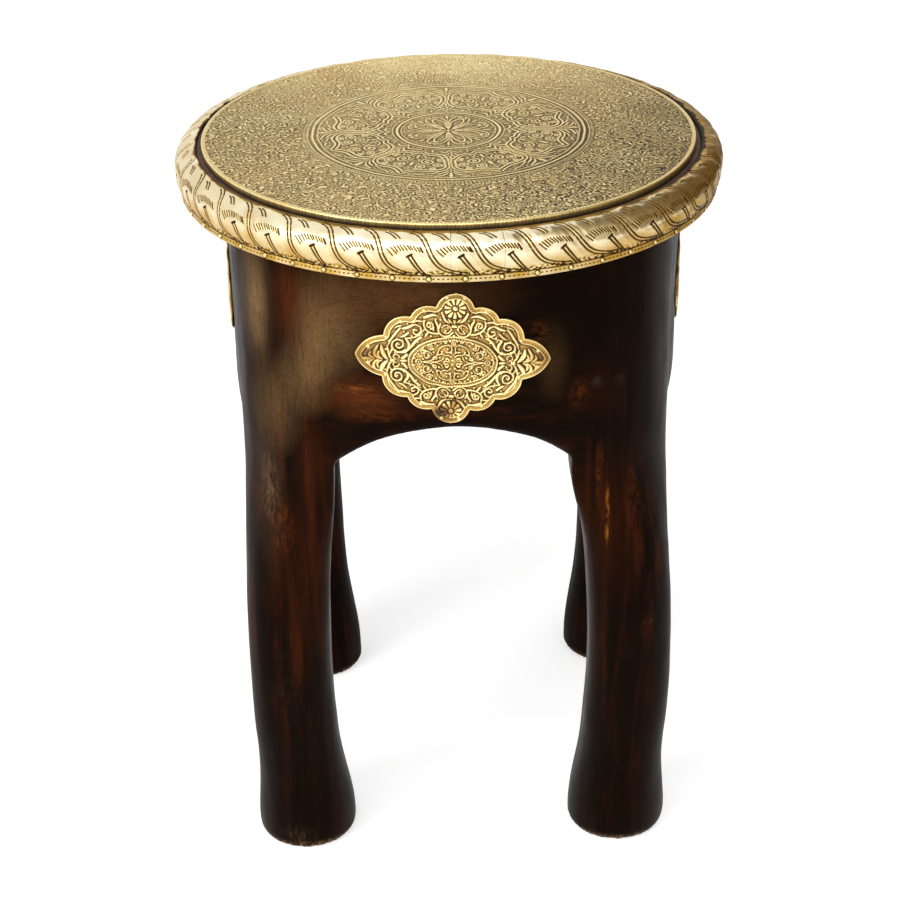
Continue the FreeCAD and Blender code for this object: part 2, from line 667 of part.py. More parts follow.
# Every feature has to stand and every piece has to be sound before anything is written
for thing in doc.Objects:
    faults = [state for state in thing.State if state in ("Invalid", "Error")]
    if faults:
        raise RuntimeError("%s is %s" % (thing.Label, ", ".join(faults)))
for piece in pieces:
    shape = piece.Shape
    if shape.isNull() or not shape.isValid() or not shape.Solids:
        raise RuntimeError("%s has no sound shape" % piece.Label)
os.makedirs("parts", exist_ok=True)
for piece in pieces:
    piece.Shape.exportStep("parts/%s.step" % piece.Label)
    print("%-24s %3d solids %12.1f mm3" % (piece.Label, len(piece.Shape.Solids), piece.Shape.Volume))
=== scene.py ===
"""The looks of a round stool: four carved legs and aprons under a round seat clad in chased brass.

Sizes are in millimetres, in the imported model's frame, and become metres where a mesh is made.
"""

import math

import bmesh
import bpy
import numpy as np
from mathutils import Matrix, Vector


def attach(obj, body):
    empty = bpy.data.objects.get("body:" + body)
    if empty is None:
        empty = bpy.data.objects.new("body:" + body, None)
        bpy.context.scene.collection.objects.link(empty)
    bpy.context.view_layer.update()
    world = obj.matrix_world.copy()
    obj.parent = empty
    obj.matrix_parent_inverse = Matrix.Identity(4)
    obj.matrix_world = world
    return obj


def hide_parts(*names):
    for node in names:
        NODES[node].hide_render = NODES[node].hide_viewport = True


MM = 0.001
CHANCE = np.random.default_rng(11)

# Camera, fitted to the photograph
CAMERA_PLACE = (-22.87, -1145.03, 814.50)
CAMERA_PITCH, CAMERA_YAW, CAMERA_ROLL = 28.1355, 1.0579, -0.8442
FOCAL_PIXELS, PHOTO_PIXELS, SENSOR = 2162.4, 900, 36.0

# Seat
SEAT_TOP, GROOVE_FLOOR, BOARD_UNDER = 404.0, 400.0, 377.5
SHEET_RADIUS, SHEET_ROUND, BRASS = 137.3, 0.9, 0.6
PANEL_RADIUS, PANEL_RINGS, FIELD_RINGS = 78.5, 187, 101
SEAT_MAP_HALF, SEAT_MAP_STEP, SECTOR = 138, 0.34, 45

# Rim: centres and radii of the three round sides, from the groove down to the flange
RIM_INNER = (142.0, 399.6775, 2.3225)
RIM_UPPER = (142.0, 391.406, 10.594)
RIM_LOWER = (135.408, 390.0, 17.092)
RIM_START, RIM_RADIUS, RIM_FACE = 139.7, 152.5, 34.34
RIM_COLUMNS, RIM_ROWS, RIM_BACK_STEP = 3200, 112, 8
RIM_CELL_RADIUS = 150.0
FLANGE_RADIUS, FLANGE_TOP = 150.0, 381.1
CLOSING_START, CLOSING_TURN, SEAM_TURN = -1.0, 10.2, 0.035
RIM_PINS, RIM_PIN_LEVEL = 51, 379.3

# Frame: TRIM is what the legs' and aprons' tops are raised by, to be cut flat at the board again
GLUE_FACE, FRAME_FACE = 67.0, 118.5
LEG_TOP_LEVEL, TRIM, CUT_INSET, VOXEL = 225, 8, 0.6, 1.9
BULGES = {"front": 7.0, "right": 10.0, "back": 7.0, "left": 6.5}
TURNS = {"front": 0.0, "right": 90.0, "back": 180.0, "left": 270.0}
LEGS = ("leg_front_left", "leg_front_right", "leg_back_left", "leg_back_right")

# Medallions
MEDALLION_HALF_WIDTH, MEDALLION_HALF_HEIGHT, MEDALLION_MIDDLE = 51.5, 38.0, 323.5
MEDALLION_GAP, MEDALLION_RINGS, MEDALLION_MAP_STEP = 0.15, 112, 0.2
TILTS = {"front": 3.0, "right": -1.5, "back": 1.0, "left": 2.0}
SHIFTS = {"front": -1.7, "right": 1.0, "back": 0.8, "left": -1.2}
CORNER_SHARES = ((1.0, 0.0), (0.715, 0.316), (0.45, 0.616), (0.195, 0.779), (-0.195, 0.779))
LOBE_SHARES = (0.92, 0.66, 0.72, 0.513)

# Studio
WHITE, WORLD_LIGHT, FLOOR_GLOW = (1, 1, 1, 1), 0.5, 0.56
FLOOR_LEVEL, FLOOR_SIDES, FLOOR_RADII = -0.2, 96, (1500, 9000)
FLOOR_DARKER, FLOOR_PALER = (0.86, 0.86, 0.86, 1), (0.89, 0.89, 0.89, 1)
CARD_CORNERS = ((1150, -900, -0.1), (1050, 1500, -0.1), (650, 1500, 2600), (750, -900, 2600))
CARD_LIGHT, CARD_DARK = (0.74, 0.60, 0.34), (0.19, 0.12, 0.04)
LAMPS = {
    "key": ((-1900, -1500, 1300), (0, 0, 280), (1.1, 1.5), 24.0),
    "overhead": ((-350, -1500, 1900), (0, 0, 380), (2.6, 1.5), 20.0),
}

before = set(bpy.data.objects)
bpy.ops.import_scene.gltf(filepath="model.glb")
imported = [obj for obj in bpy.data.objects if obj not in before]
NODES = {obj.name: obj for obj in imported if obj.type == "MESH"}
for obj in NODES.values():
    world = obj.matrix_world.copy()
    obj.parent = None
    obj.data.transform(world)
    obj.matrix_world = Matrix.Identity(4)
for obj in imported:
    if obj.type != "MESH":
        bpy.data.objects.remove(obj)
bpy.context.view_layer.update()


# Lines and fields

def smooth(value, low, high):
    """0 below low, 1 above high, and an easy curve between."""
    t = np.clip((value - low) / (high - low), 0, 1)
    return t * t * (3 - 2 * t)


def fade(value, low, high):
    """1 below low, 0 above high, and an easy curve between."""
    return 1 - smooth(value, low, high)


def rounded(away, half, full=1.3):
    """A rounded cross-section, 1 near a line and 0 at its edge."""
    return np.clip(full * (1 - (away / half) ** 2), 0, 1)


def spline(points, per=8):
    """A smooth line through points given as pairs, or as their x and y one after the other."""
    p = np.reshape(np.array(points, float), (-1, 2))
    p = np.vstack([2 * p[:1] - p[1:2], p, 2 * p[-1:] - p[-2:-1]])
    t = np.linspace(0, 1, per, endpoint=False)[:, None]
    runs = [
        0.5 * (2 * b + (c - a) * t + (2 * a - 5 * b + 4 * c - d) * t**2 + (3 * b - a - 3 * c + d) * t**3)
        for a, b, c, d in zip(p[:-3], p[1:-2], p[2:-1], p[3:])
    ]
    return np.vstack(runs + [p[-2:-1]])


def sideways(line):
    """The unit vectors across a line, to its right."""
    way = np.gradient(line, axis=0)
    way /= np.hypot(*way.T)[:, None]
    return np.stack([way[:, 1], -way[:, 0]], 1)


def spiral(centre, start, end, turn_start, turns, steps=28):
    """A curl about a centre, from one radius to another, with its first direction in degrees."""
    t = np.linspace(0, 1, steps)
    angle = np.radians(turn_start + 360 * turns * t)
    radius = start + (end - start) * t
    return np.stack([centre[0] + radius * np.cos(angle), centre[1] + radius * np.sin(angle)], 1)


def ellipse(half_width, half_height, steps=120):
    """A closed oval about the middle."""
    angle = np.linspace(0, 2 * np.pi, steps)
    return np.stack([half_width * np.cos(angle), half_height * np.sin(angle)], 1)


class Relief:
    """Heights over points of a plane, raised along ridges and cut along grooves."""

    def __init__(self, x, y, ground):
        self.x, self.y = x, y
        self.ground = ground
        self.height = np.array(ground, float) * np.ones(len(x))

    def near(self, path, reach):
        """The points within reach of a path, their distances, and how far along it they lie."""
        path = np.atleast_2d(np.array(path, float))
        low, high = path.min(0) - reach, path.max(0) + reach
        inside = (self.x > low[0]) & (self.x < high[0]) & (self.y > low[1]) & (self.y < high[1])
        found = np.flatnonzero(inside)
        x, y = self.x[found], self.y[found]
        best, along = np.full(len(found), np.inf), np.zeros(len(found))
        if len(path) == 1:
            return found, np.hypot(x - path[0, 0], y - path[0, 1]), along
        steps = np.hypot(*np.diff(path, axis=0).T)
        reached = np.concatenate([[0], np.cumsum(steps)])
        for (ax, ay), (bx, by), step, done in zip(path[:-1], path[1:], steps, reached):
            if step == 0:
                continue
            t = np.clip(((x - ax) * (bx - ax) + (y - ay) * (by - ay)) / step**2, 0, 1)
            away = np.hypot(x - ax - t * (bx - ax), y - ay - t * (by - ay))
            closer = away < best
            best[closer] = away[closer]
            along[closer] = (done + t[closer] * step) / reached[-1]
        return found, best, along

    def lift(self, found, away, half, top):
        """Raises the found points, by how far away they are from a line of that half width."""
        ground = self.ground if np.isscalar(self.ground) else self.ground[found]
        lifted = ground + (top - ground) * rounded(away, half, 1.35)
        self.height[found] = np.maximum(self.height[found], lifted)

    def ridge(self, path, width, top, ends=1.0):
        """Raises a line. ends is the share of the width left at both of its ends."""
        found, away, along = self.near(path, width)
        self.lift(found, away, 0.5 * width * (ends + (1 - ends) * np.sin(np.pi * along) ** 0.7), top)

    def leaf(self, path, width, top):
        """Raises a leaf: pointed at its start, widest past its middle, and round at its end."""
        found, away, along = self.near(path, width)
        self.lift(found, away, 0.5 * width * np.clip(0.15 + 1.3 * along**0.8 * (1.35 - along), 0.05, 1), top)

    def lines(self, table, top, share=1.0, ends=1.0):
        """Raises curves, each given as its width and the x and y of its points."""
        for width, *points in table:
            self.ridge(spline(points), share * width, top, ends)

    def leaves(self, table, top, share=1.0):
        """Raises leaves, each given as its width and the x and y of its points."""
        for width, *points in table:
            self.leaf(spline(points), share * width, top)

    def curls(self, table, top):
        """Raises spirals, each given as its width, centre, two radii, first direction and turns."""
        for width, x, y, *curl in table:
            self.ridge(spiral((x, y), *curl), width, top)

    def dots(self, places, size, top):
        """Raises dots of one size, given as their x and y one after the other."""
        for place in np.reshape(places, (-1, 2)):
            self.ridge([place], size, top)

    def groove(self, path, width, depth, dash=None, start=0.0):
        """Cuts a line. dash is (length of one dash with its gap, share that is cut)."""
        found, away, along = self.near(path, width)
        cut = depth * rounded(away, 0.5 * width, 1.35)
        if dash:
            length = np.hypot(*np.diff(np.array(path), axis=0).T).sum()
            place = np.mod(along * length / dash[0] + start, 1)
            cut = cut * smooth(dash[1] - place, -0.02, 0.08)
        self.height[found] = np.minimum(self.height[found], -cut)


def between(field, a, b, c, d, s, t):
    """Values of a grid between its rows a and b, by share s, and its columns c and d, by share t."""
    first = field[a, c] * (1 - s) + field[b, c] * s
    return first * (1 - t) + (field[a, d] * (1 - s) + field[b, d] * s) * t


class Noise:
    """Smooth random heights over a square that repeats, with features of about one size."""

    def __init__(self, size, step, wavelength, spread):
        count = int(size / step)
        turns = np.fft.fftfreq(count, step)
        pitch = np.hypot(turns[:, None], turns[None, :]) * wavelength
        keep = np.exp(-(((pitch - 1) / spread) ** 2) / 2)
        field = np.fft.ifft2(np.fft.fft2(CHANCE.standard_normal((count, count))) * keep).real
        self.field, self.step, self.count = field / field.std(), step, count

    def at(self, x, y):
        """Heights at places in millimetres."""
        u, v = x / self.step, y / self.step
        i, j = np.floor(u).astype(int), np.floor(v).astype(int)
        places = (k % self.count for k in (i, i + 1, j, j + 1))
        return between(self.field, *places, u - i, v - j)


class Map:
    """A grid of places over a rectangle about the middle, for heights that are blurred and read elsewhere."""

    def __init__(self, half_width, half_height, step):
        self.step, self.half = step, (half_width, half_height)
        across, up = (np.arange(-half, half + step, step) for half in self.half)
        self.shape = (len(across), len(up))
        x, y = np.meshgrid(across, up, indexing="ij")
        self.x, self.y = x.ravel(), y.ravel()

    def blur(self, values, size):
        """Values softened over a number of millimetres."""
        field = values.reshape(self.shape)
        turns = [np.fft.fftfreq(n, self.step) for n in self.shape]
        keep = np.exp(-2 * (np.pi * size) ** 2 * (turns[0][:, None] ** 2 + turns[1][None, :] ** 2))
        return np.fft.ifft2(np.fft.fft2(field) * keep).real.ravel()

    def read(self, values, x, y):
        """Values at other places of the rectangle."""
        field = values.reshape(self.shape)
        u = np.clip((x + self.half[0]) / self.step, 0, self.shape[0] - 1.001)
        v = np.clip((y + self.half[1]) / self.step, 0, self.shape[1] - 1.001)
        i, j = u.astype(int), v.astype(int)
        return between(field, i, i + 1, j, j + 1, u - i, v - j)


def waves(places, shortest, longest, count=26):
    """Smooth random values at places in space, with features between two sizes."""
    total = np.zeros(len(places))
    for _ in range(count):
        way = CHANCE.standard_normal(3)
        way *= 2 * np.pi / (np.linalg.norm(way) * CHANCE.uniform(shortest, longest))
        total += np.sin(places @ way + CHANCE.uniform(0, 2 * np.pi))
    return total / math.sqrt(count / 2)


# Meshes

def add_object(name, data):
    """A new object in the scene."""
    made = bpy.data.objects.new(name, data)
    bpy.context.scene.collection.objects.link(made)
    return made


def make_mesh(name, points, faces, values=None):
    """A piece from points in millimetres and lists of faces, with values kept on its points."""
    mesh = bpy.data.meshes.new(name)
    mesh.vertices.add(len(points))
    mesh.vertices.foreach_set("co", (np.asarray(points) * MM).astype(np.float32).ravel())
    sizes = np.concatenate([np.full(len(f), f.shape[1]) for f in faces])
    corners = np.concatenate([f.ravel() for f in faces])
    mesh.loops.add(len(corners))
    mesh.loops.foreach_set("vertex_index", corners.astype(np.int32))
    mesh.polygons.add(len(sizes))
    mesh.polygons.foreach_set("loop_start", (np.cumsum(sizes) - sizes).astype(np.int32))
    mesh.polygons.foreach_set("loop_total", sizes.astype(np.int32))
    mesh.polygons.foreach_set("use_smooth", np.ones(len(sizes), bool))
    for key, value in (values or {}).items():
        attribute = mesh.attributes.new(key, "FLOAT", "POINT")
        attribute.data.foreach_set("value", np.asarray(value, np.float32))
    mesh.update(calc_edges=True)
    mesh.validate()
    return add_object(name, mesh)


def grid_faces(rows, columns, closed):
    """Quads over rows of columns, numbered row by row."""
    i = np.arange(rows - 1)[:, None] * columns
    j = np.arange(columns if closed else columns - 1)[None, :]
    k = (j + 1) % columns
    return np.stack([i + j, i + k, i + columns + k, i + columns + j], -1).reshape(-1, 4)


def disc_faces(rings):
    """Triangles over a centre point and rings of 6, 12, 18 and more points."""
    faces = []
    for ring in range(rings):
        inner, outer = 3 * ring * (ring - 1) + 1, 3 * ring * (ring + 1) + 1
        sextant = np.arange(6)[:, None]
        j = np.arange(ring + 1)[None, :]
        step = sextant * (ring + 1) + j
        out_a = outer + step % (6 * (ring + 1))
        out_b = outer + (step + 1) % (6 * (ring + 1))
        if ring:
            here = inner + (sextant * ring + j) % (6 * ring)
            k = j[:, :-1]
            in_a = inner + (sextant * ring + k) % (6 * ring)
            in_b = inner + (sextant * ring + k + 1) % (6 * ring)
            faces.append(np.stack([in_a, out_b[:, :-1], in_b], -1).reshape(-1, 3))
        else:
            here = np.zeros_like(step)
        faces.append(np.stack([here, out_a, out_b], -1).reshape(-1, 3))
    return np.vstack(faces)


def disc_points(radii):
    """Ring radius and angle of a centre point and rings of 6, 12, 18 and more points."""
    radius, angle = [np.zeros(1)], [np.zeros(1)]
    for ring, r in enumerate(radii, 1):
        radius.append(np.full(6 * ring, r))
        angle.append(2 * np.pi * np.arange(6 * ring) / (6 * ring))
    return np.concatenate(radius), np.concatenate(angle)


# Ornament of the seat

def fold(radius, angle, middle):
    """Places folded into one half of a sector about its middle, which is in degrees."""
    turned = np.radians(np.abs(np.mod(np.degrees(angle) - middle + SECTOR / 2, SECTOR) - SECTOR / 2))
    return radius * np.sin(turned), radius * np.cos(turned)


CARTOUCHE = (
    0, 37.6, 3.2, 39.2, 6.4, 38.6, 10, 38.9, 13.6, 41.4, 16.4, 44.6, 17.6, 47.5, 19, 51,
    20.2, 54.5, 19.6, 58.2, 16.5, 61.2, 12.5, 62.6, 8.8, 63, 5.5, 64.4, 2.6, 66.6, 0, 69,
)
CARTOUCHE_CURLS = (
    (1.3, 7.6, 49.6, 4.1, 0.7, 250, -1.55), (1.3, 6.4, 57.9, 3.2, 0.7, 120, 1.5),
    (1.3, 13.4, 52.6, 2.9, 0.7, 60, -1.4), (1.3, 12.8, 45.2, 2.2, 0.7, 200, 1.3),
    (1.3, 13.6, 58.6, 1.9, 0.7, 20, 1.3),
)
CARTOUCHE_LEAVES = (
    (1.8, 0, 41.5, 0, 44, 0, 46.2), (2.2, 0, 52.8, 0, 55, 0, 57.8), (1.1, 0.8, 47.2, 2.2, 48.6, 2.5, 51),
    (1.2, 0.9, 42.2, 3.4, 42.6, 5.2, 44.6), (1.1, 2, 61, 4.6, 61.6, 8.4, 60.6),
    (1.1, 9.4, 42.4, 8.4, 43.4, 8.6, 45), (1.1, 10.6, 55.8, 12.4, 56.2, 15, 55.2),
    (1, 16, 50, 17.2, 52.6, 17.4, 55),
)
CARTOUCHE_DOTS = (2.6, 44.6, 3.6, 53.4, 10.6, 49.6, 10.2, 60.6, 0, 60.4, 5.2, 41.2, 17.6, 58)
PALMETTE_LEAVES = (
    (1.5, 0.5, 32, 3, 34.6, 5.6, 33.8), (1.5, 0.5, 35, 3.2, 38.4, 6.2, 38.6),
    (1.3, 0.4, 38.6, 2.2, 41.4, 4.2, 42.4), (2.2, 0, 41, 0, 43, 0, 45.6),
    (1.5, 0.6, 61.4, 3.5, 65.4, 7.6, 67.2), (1.5, 0.8, 64.6, 3.6, 68.6, 9.4, 70.6),
    (1.1, 3.6, 71, 8.4, 71.8, 13.2, 71.6), (2.6, 0, 66.4, 0, 68.8, 0, 71.8),
    (1.2, 8.6, 34.4, 9.6, 32.6, 9, 31.2), (1.2, 5.8, 63.4, 9.4, 66, 13.6, 67),
    (1.2, 13.8, 68.4, 17.4, 67.6, 20.6, 68.6),
)
PALMETTE_DOTS = (2.4, 44.8, 7.6, 36, 1.8, 47.5, 16.8, 70.6, 11.2, 69.2, 22.6, 70, 1.8, 59.5)
ROSETTE_LINES = (
    (1.25, 0.8, 4.5, 1.3, 8, 1.9, 12, 3.8, 15.6, 6.6, 18, 8.3, 17.2),
    (1.2, 0.4, 9.5, 0.9, 14, 2, 18, 4.8, 21.6, 8.2, 22.4),
)
ROSETTE_DOTS = ((3.4, 0, 0), (1.3, 0, 25.2), (1.2, 3.4, 24.6), (1.3, 8.7, 14.6), (1, 7.6, 24.4))
RINGS = ((75.7, 1.6, -0.05), (28.7, 1.9, 0.0), (78.6, 0.9, -0.08), (72.8, 0.9, -0.03), (26.4, 0.8, -0.05),
         (31.1, 0.8, -0.05))


def seat_cartouches(relief):
    """The eight shaped panels, with a bud and mirrored curls in each."""
    line = spline(CARTOUCHE, 5)
    across = sideways(line)
    for side in (-1.2, 1.2):
        relief.ridge(line + side * across, 1.5, 0.0)
    for side in (-2.4, 0.0, 2.4):
        relief.groove(line + side * across, 0.85, 0.44)
    relief.curls(CARTOUCHE_CURLS, -0.02)
    relief.dots([curl[1:3] for curl in CARTOUCHE_CURLS], 1.7, 0.0)
    relief.leaves(CARTOUCHE_LEAVES, -0.02, 1.3)
    relief.dots(CARTOUCHE_DOTS, 1.3, -0.02)


def seat_palmettes(relief):
    """What stands between the panels: palmettes inside, and buds and leaves outside."""
    relief.lines(((0.9, 0, 31.5, 0, 44), (0.9, 0, 60, 0, 71.8)), -0.02)
    relief.leaves(PALMETTE_LEAVES, -0.02, 1.3)
    relief.dots(PALMETTE_DOTS, 1.2, -0.02)
    relief.lines(((0.6, 0.9, 47.5, 0.7, 52.5, 0.9, 58.5), (0.6, 2.4, 47.5, 2.2, 52.5, 2.4, 58.5)), -0.06)
    # Rosette at the middle
    relief.lines(ROSETTE_LINES, 0.0)
    relief.curls(((0.9, 6.9, 20.0, 1.9, 0.6, 90, -1.2),), -0.02)
    relief.lines(((0.8, 0, 8.5, 0, 17.5),), -0.02)
    relief.leaves(((2.2, 0, 18.6, 0, 20.6, 0, 23), (1.9, 0.1, 2.0, 0.1, 5.0, 0.1, 7.8)), 0.0)
    for size, *place in ROSETTE_DOTS:
        relief.dots(place, size, 0.0)


def seat_map():
    """The chased face of the seat as a map of heights, 0 at the face, and of tarnish with painted shade."""
    chart = Map(SEAT_MAP_HALF, SEAT_MAP_HALF, SEAT_MAP_STEP)
    x, y = chart.x, chart.y
    radius, angle = np.hypot(x, y), np.arctan2(y, x)
    drift, worm, knots, calm, fine = (Noise(330, *kind) for kind in (
        (1.5, 24, 0.5), (0.4, 2.5, 0.36), (1.0, 9.0, 0.45), (3.0, 70, 0.7), (0.4, 1.3, 0.4),
    ))
    here, there = (x + 170, y + 170), (y + 170, x + 170)
    r = radius + 0.10 * drift.at(*here)
    bent, turned = radius + 0.25 * drift.at(*there), angle + 0.30 * drift.at(*here) / np.maximum(radius, 10)
    # Scrollwork over the whole field, gathered in small curls
    swirl = worm.at(here[0] + 1.9 * knots.at(*here), here[1] + 1.9 * knots.at(*there))
    field = -0.17 + 0.16 * np.tanh(1.7 * swirl + 0.35 * knots.at(*here)) - 0.02 * np.abs(fine.at(*here))
    # Matted ground of the round panel, with what is raised on it
    matt = -0.24 - 0.035 * fine.at(*here) + 0.02 * worm.at(*there)
    inside = fade(r, 81.4, 82.2)
    height = field * (1 - inside) + matt * inside
    cartouche = Relief(*fold(bent, turned, SECTOR / 2), matt)
    seat_cartouches(cartouche)
    palmette = Relief(*fold(bent, turned, 0.0), matt)
    seat_palmettes(palmette)
    drawn = np.maximum(cartouche.height, palmette.height)
    height = np.where(radius < 72.2, np.maximum(height, drawn), height)
    for band, width, top in RINGS:
        height = np.maximum(height, -0.28 + (top + 0.28) * rounded(r - band, 0.5 * width, 1.6))
    ticks = smooth(np.cos(turned * 260), -0.3, 0.6) * smooth(0.8 - np.abs(r - 80.3), -0.1, 0.2)
    height = np.maximum(height, -0.26 + 0.16 * ticks)
    # Plain worn edge with fine radial marks
    edge = smooth(radius, 134.4, 135.3)
    marks = 0.08 * smooth(np.cos(angle * 430 + drift.at(*here)), 0.0, 0.8) * smooth(radius, 134.6, 135.6)
    height = height * (1 - edge) + (-0.01 - marks) * edge
    cavity = chart.blur(height, 0.85) - height
    # Painted shade: darker towards the right and the front right, where less light falls on the face, with
    # faint random tarnish
    across, away = x / 100, y / 100
    shade_and_tarnish = 0.10 * across + 0.10 * across**2 - 0.085 * away - 0.15 * away**2 - 0.09 * across * away
    shade_and_tarnish += (0.33 * np.clip(across, 0, 2) - 0.04) * np.clip(-away, 0, 2)
    shade_and_tarnish += 0.025 * calm.at(*there) + 0.05 * knots.at(*here)
    # Patina in the hollows, deepened at the front and paled at the back as painted shade and painted sheen
    depth = np.clip(cavity / 0.11, -0.85, 1.4) * (1.0 - 0.42 * away + 0.12 * calm.at(*here))
    dark = 0.42 + 0.76 * depth + shade_and_tarnish
    dark = dark * (1 - edge) + (0.02 + 6.0 * marks) * edge
    wavy = 0.03 * calm.at(*here) + 0.015 * knots.at(*here)
    height = np.clip(height + wavy * fade(radius, 126, 135) - 0.04, -0.5, 0.0)
    return chart, height, np.clip(dark, 0, 1)


def brass_seat():
    """The embossed sheet on the raised disc, with its rounded edge turned down into the groove."""
    flat = SHEET_RADIUS - SHEET_ROUND
    inner = np.arange(1, PANEL_RINGS + 1) * (PANEL_RADIUS / PANEL_RINGS)
    outer = PANEL_RADIUS + np.arange(1, FIELD_RINGS + 1) * ((flat - PANEL_RADIUS) / FIELD_RINGS)
    radii = np.concatenate([inner, outer])
    radius, angle = disc_points(radii)
    x, y = radius * np.cos(angle), radius * np.sin(angle)
    # tarnish holds the patina of the face with its painted shade
    chart, heights, tarnish = seat_map()
    height, dark = chart.read(heights, x, y), chart.read(tarnish, x, y)
    points = [np.stack([x, y, SEAT_TOP + height], 1)]
    last = 6 * len(radii)
    around = 2 * np.pi * np.arange(last) / last
    rim = height[-last:]
    rows = []
    for turn in (22.5, 45, 67.5, 90):
        t = math.radians(turn)
        rows.append((flat + SHEET_ROUND * math.sin(t), SEAT_TOP - SHEET_ROUND * (1 - math.cos(t)), turn / 90))
    rows += [(SHEET_RADIUS, z, 1.0) for z in (402.8, 402.5, 402.1, 401.2, GROOVE_FLOOR)]
    rows += [(SHEET_RADIUS - BRASS, GROOVE_FLOOR, 1.0), (SHEET_RADIUS - BRASS, SEAT_TOP - BRASS, 1.0)]
    tarnish = []
    ragged = 0.22 * np.cos(430 * around) + 0.12 * np.cos(171 * around + 1) + 0.15 * np.cos(37 * around)
    for r, z, share in rows:
        level = np.minimum(rim, 0) * (1 - share)
        points.append(np.stack([r * np.cos(around), r * np.sin(around), z + level], 1))
        # Painted shade down the turned edge into the groove, darkest at its floor
        tarnish.append(np.interp(z + ragged, (401.0, 402.0, 402.6, 403.1, 403.45),
                                 (0.95, 0.8, 0.5, 0.36, 0.04)))
    points.append(np.array([[0, 0, SEAT_TOP - BRASS]]))
    tarnish.append(np.ones(1))
    first = 3 * len(radii) * (len(radii) + 1) + 1 - last
    skirt = grid_faces(len(rows) + 1, last, True)[:, ::-1] + first
    total = sum(len(p) for p in points)
    lowest = total - 1 - last
    j = np.arange(last)
    under = np.stack([lowest + j, lowest + (j + 1) % last, np.full(last, total - 1)], -1)
    return make_mesh("seat_sheet", np.vstack(points), [disc_faces(len(radii)), skirt, under],
                     {"patina": np.concatenate([dark] + tarnish)})


# Ornament of the rim

S_STEEP = (
    (-9.6, 4.2), (-6.2, 5.9), (-3.2, 8.6), (-1.2, 13.0), (0, 17.1), (0.9, 20.7), (2.4, 24), (4.6, 26.8),
    (8.4, 29.2), (12.6, 30.4),
)
S_SLANT = (
    (-10.6, 4.3), (-6.9, 6.4), (-4.2, 9.8), (-1.6, 14.3), (0, 17.1), (2.9, 21), (6.4, 24.4), (10.8, 26.8),
    (17.0, 28.6), (24.0, 29.5),
)
CELL_MIDDLES = (-23.85, -14.37, -4.93, 4.34, 14.75, 24.6, 35.48, 45.93)
CELLS = 36


def rim_profile(s):
    """Radius and height of the rim's face at distances down it, and where its flange starts."""
    radius, height = np.zeros_like(s), np.zeros_like(s)
    start = 0.0
    for (centre, level, bend), turn_from, turn_to in (
        (RIM_INNER, math.atan2(GROOVE_FLOOR - RIM_INNER[1], RIM_START - RIM_INNER[0]), math.pi / 2),
        (RIM_UPPER, math.pi / 2, math.atan2(RIM_LOWER[1] - RIM_UPPER[1], RIM_RADIUS - RIM_UPPER[0])),
        (RIM_LOWER, 0.0, math.atan2(FLANGE_TOP - RIM_LOWER[1], FLANGE_RADIUS - RIM_LOWER[0])),
    ):
        length = bend * (turn_from - turn_to)
        here = (s >= start - 1e-9) & (s <= start + length)
        turn = turn_from - (s[here] - start) / bend
        radius[here], height[here] = centre + bend * np.cos(turn), level + bend * np.sin(turn)
        start += length
    flange = s > start
    radius[flange], height[flange] = FLANGE_RADIUS, FLANGE_TOP - (s[flange] - start)
    return radius, height, start


def rim_cells():
    """Where the repeats of the rim's pattern stand, in degrees from the front, and their slants."""
    rest = np.linspace(CELL_MIDDLES[-1], CELL_MIDDLES[0] + 360, CELLS - len(CELL_MIDDLES) + 2)[1:-1]
    middles = np.concatenate([CELL_MIDDLES, rest + CHANCE.uniform(-0.5, 0.5, len(rest))])
    slants = 0.5 + 0.5 * np.sin(np.radians(2 * (middles + 5))) + CHANCE.uniform(-0.12, 0.12, len(middles))
    return middles, np.clip(slants, 0, 1)


RIM_PATTERN = rim_cells()
RIM_NOISE = [Noise(1000, step, wavelength, 0.5) for step, wavelength in ((2.0, 21), (1.0, 7), (0.7, 2.6))]


def engrave_cell(relief, valley, middle, slant, chance):
    """One repeat: a stitched S in a shallow valley, a comb of strokes, and two pairs of curved lines."""
    def at(points):
        return np.array(points, float) + (middle, 0)

    def lean(steep, slanted):
        return np.array(steep, float) * (1 - slant) + np.array(slanted, float) * slant

    bend = spline(at(lean(S_STEEP, S_SLANT)), 6)
    valley.groove(bend, 10.0, 1.0)
    for side, start in ((-0.95, 0.0), (0.95, 0.45)):
        line = bend + side * sideways(bend)
        relief.groove(line, 0.7, 0.2)
        relief.groove(line, 0.95, 0.3, (3.4, 0.72), start)
        relief.groove(line[len(line) // 2:], 1.0, 0.3)
    for stroke in range(11):
        share = stroke / 5 - 1
        top = 13.4 + (2.3 if share < 0 else 1.0) * share**2
        turn = math.radians(45 + 15 * (stroke / 10) + chance.uniform(-3, 3))
        length = 3.2 + (1.5 * share**2 if share < 0 else -0.2 * share) + chance.uniform(-0.3, 0.3)
        left = 3.4 + 1.65 * stroke + 0.10 * slant * (top - 17) + chance.uniform(-0.15, 0.15)
        ends = [(left, top), (left + length * math.cos(turn), top + length * math.sin(turn))]
        width, depth = (1.2, 0.28) if stroke == 10 else (0.74, 0.24)
        relief.groove(at(ends), width, depth)
    for low in ((((12.7, 19.2), (15.4, 24.2), (19.3, 31.0)), ((16.2, 19.2), (20.8, 24.4), (27.0, 31.0))),
                (((14.5, 18.3), (17.2, 24.0), (20.9, 31.0)), ((17.9, 18.3), (22.6, 24.0), (28.8, 31.0)))):
        relief.groove(spline(at(lean(*low))), 1.05, 0.3)
    cap = lean(((12.5, 19.4), (14.8, 18.1)), ((16.0, 19.4), (18.2, 18.1)))
    relief.groove(at(cap), 1.5 * chance.uniform(0.9, 1.1), 0.3)
    for high in (((1.0, 6.0), (4.0, 7.2), (7.3, 9.9)), ((3.1, 5.4), (6.2, 6.7), (9.4, 9.7))):
        relief.groove(spline(at(high)), 0.85, 0.26)


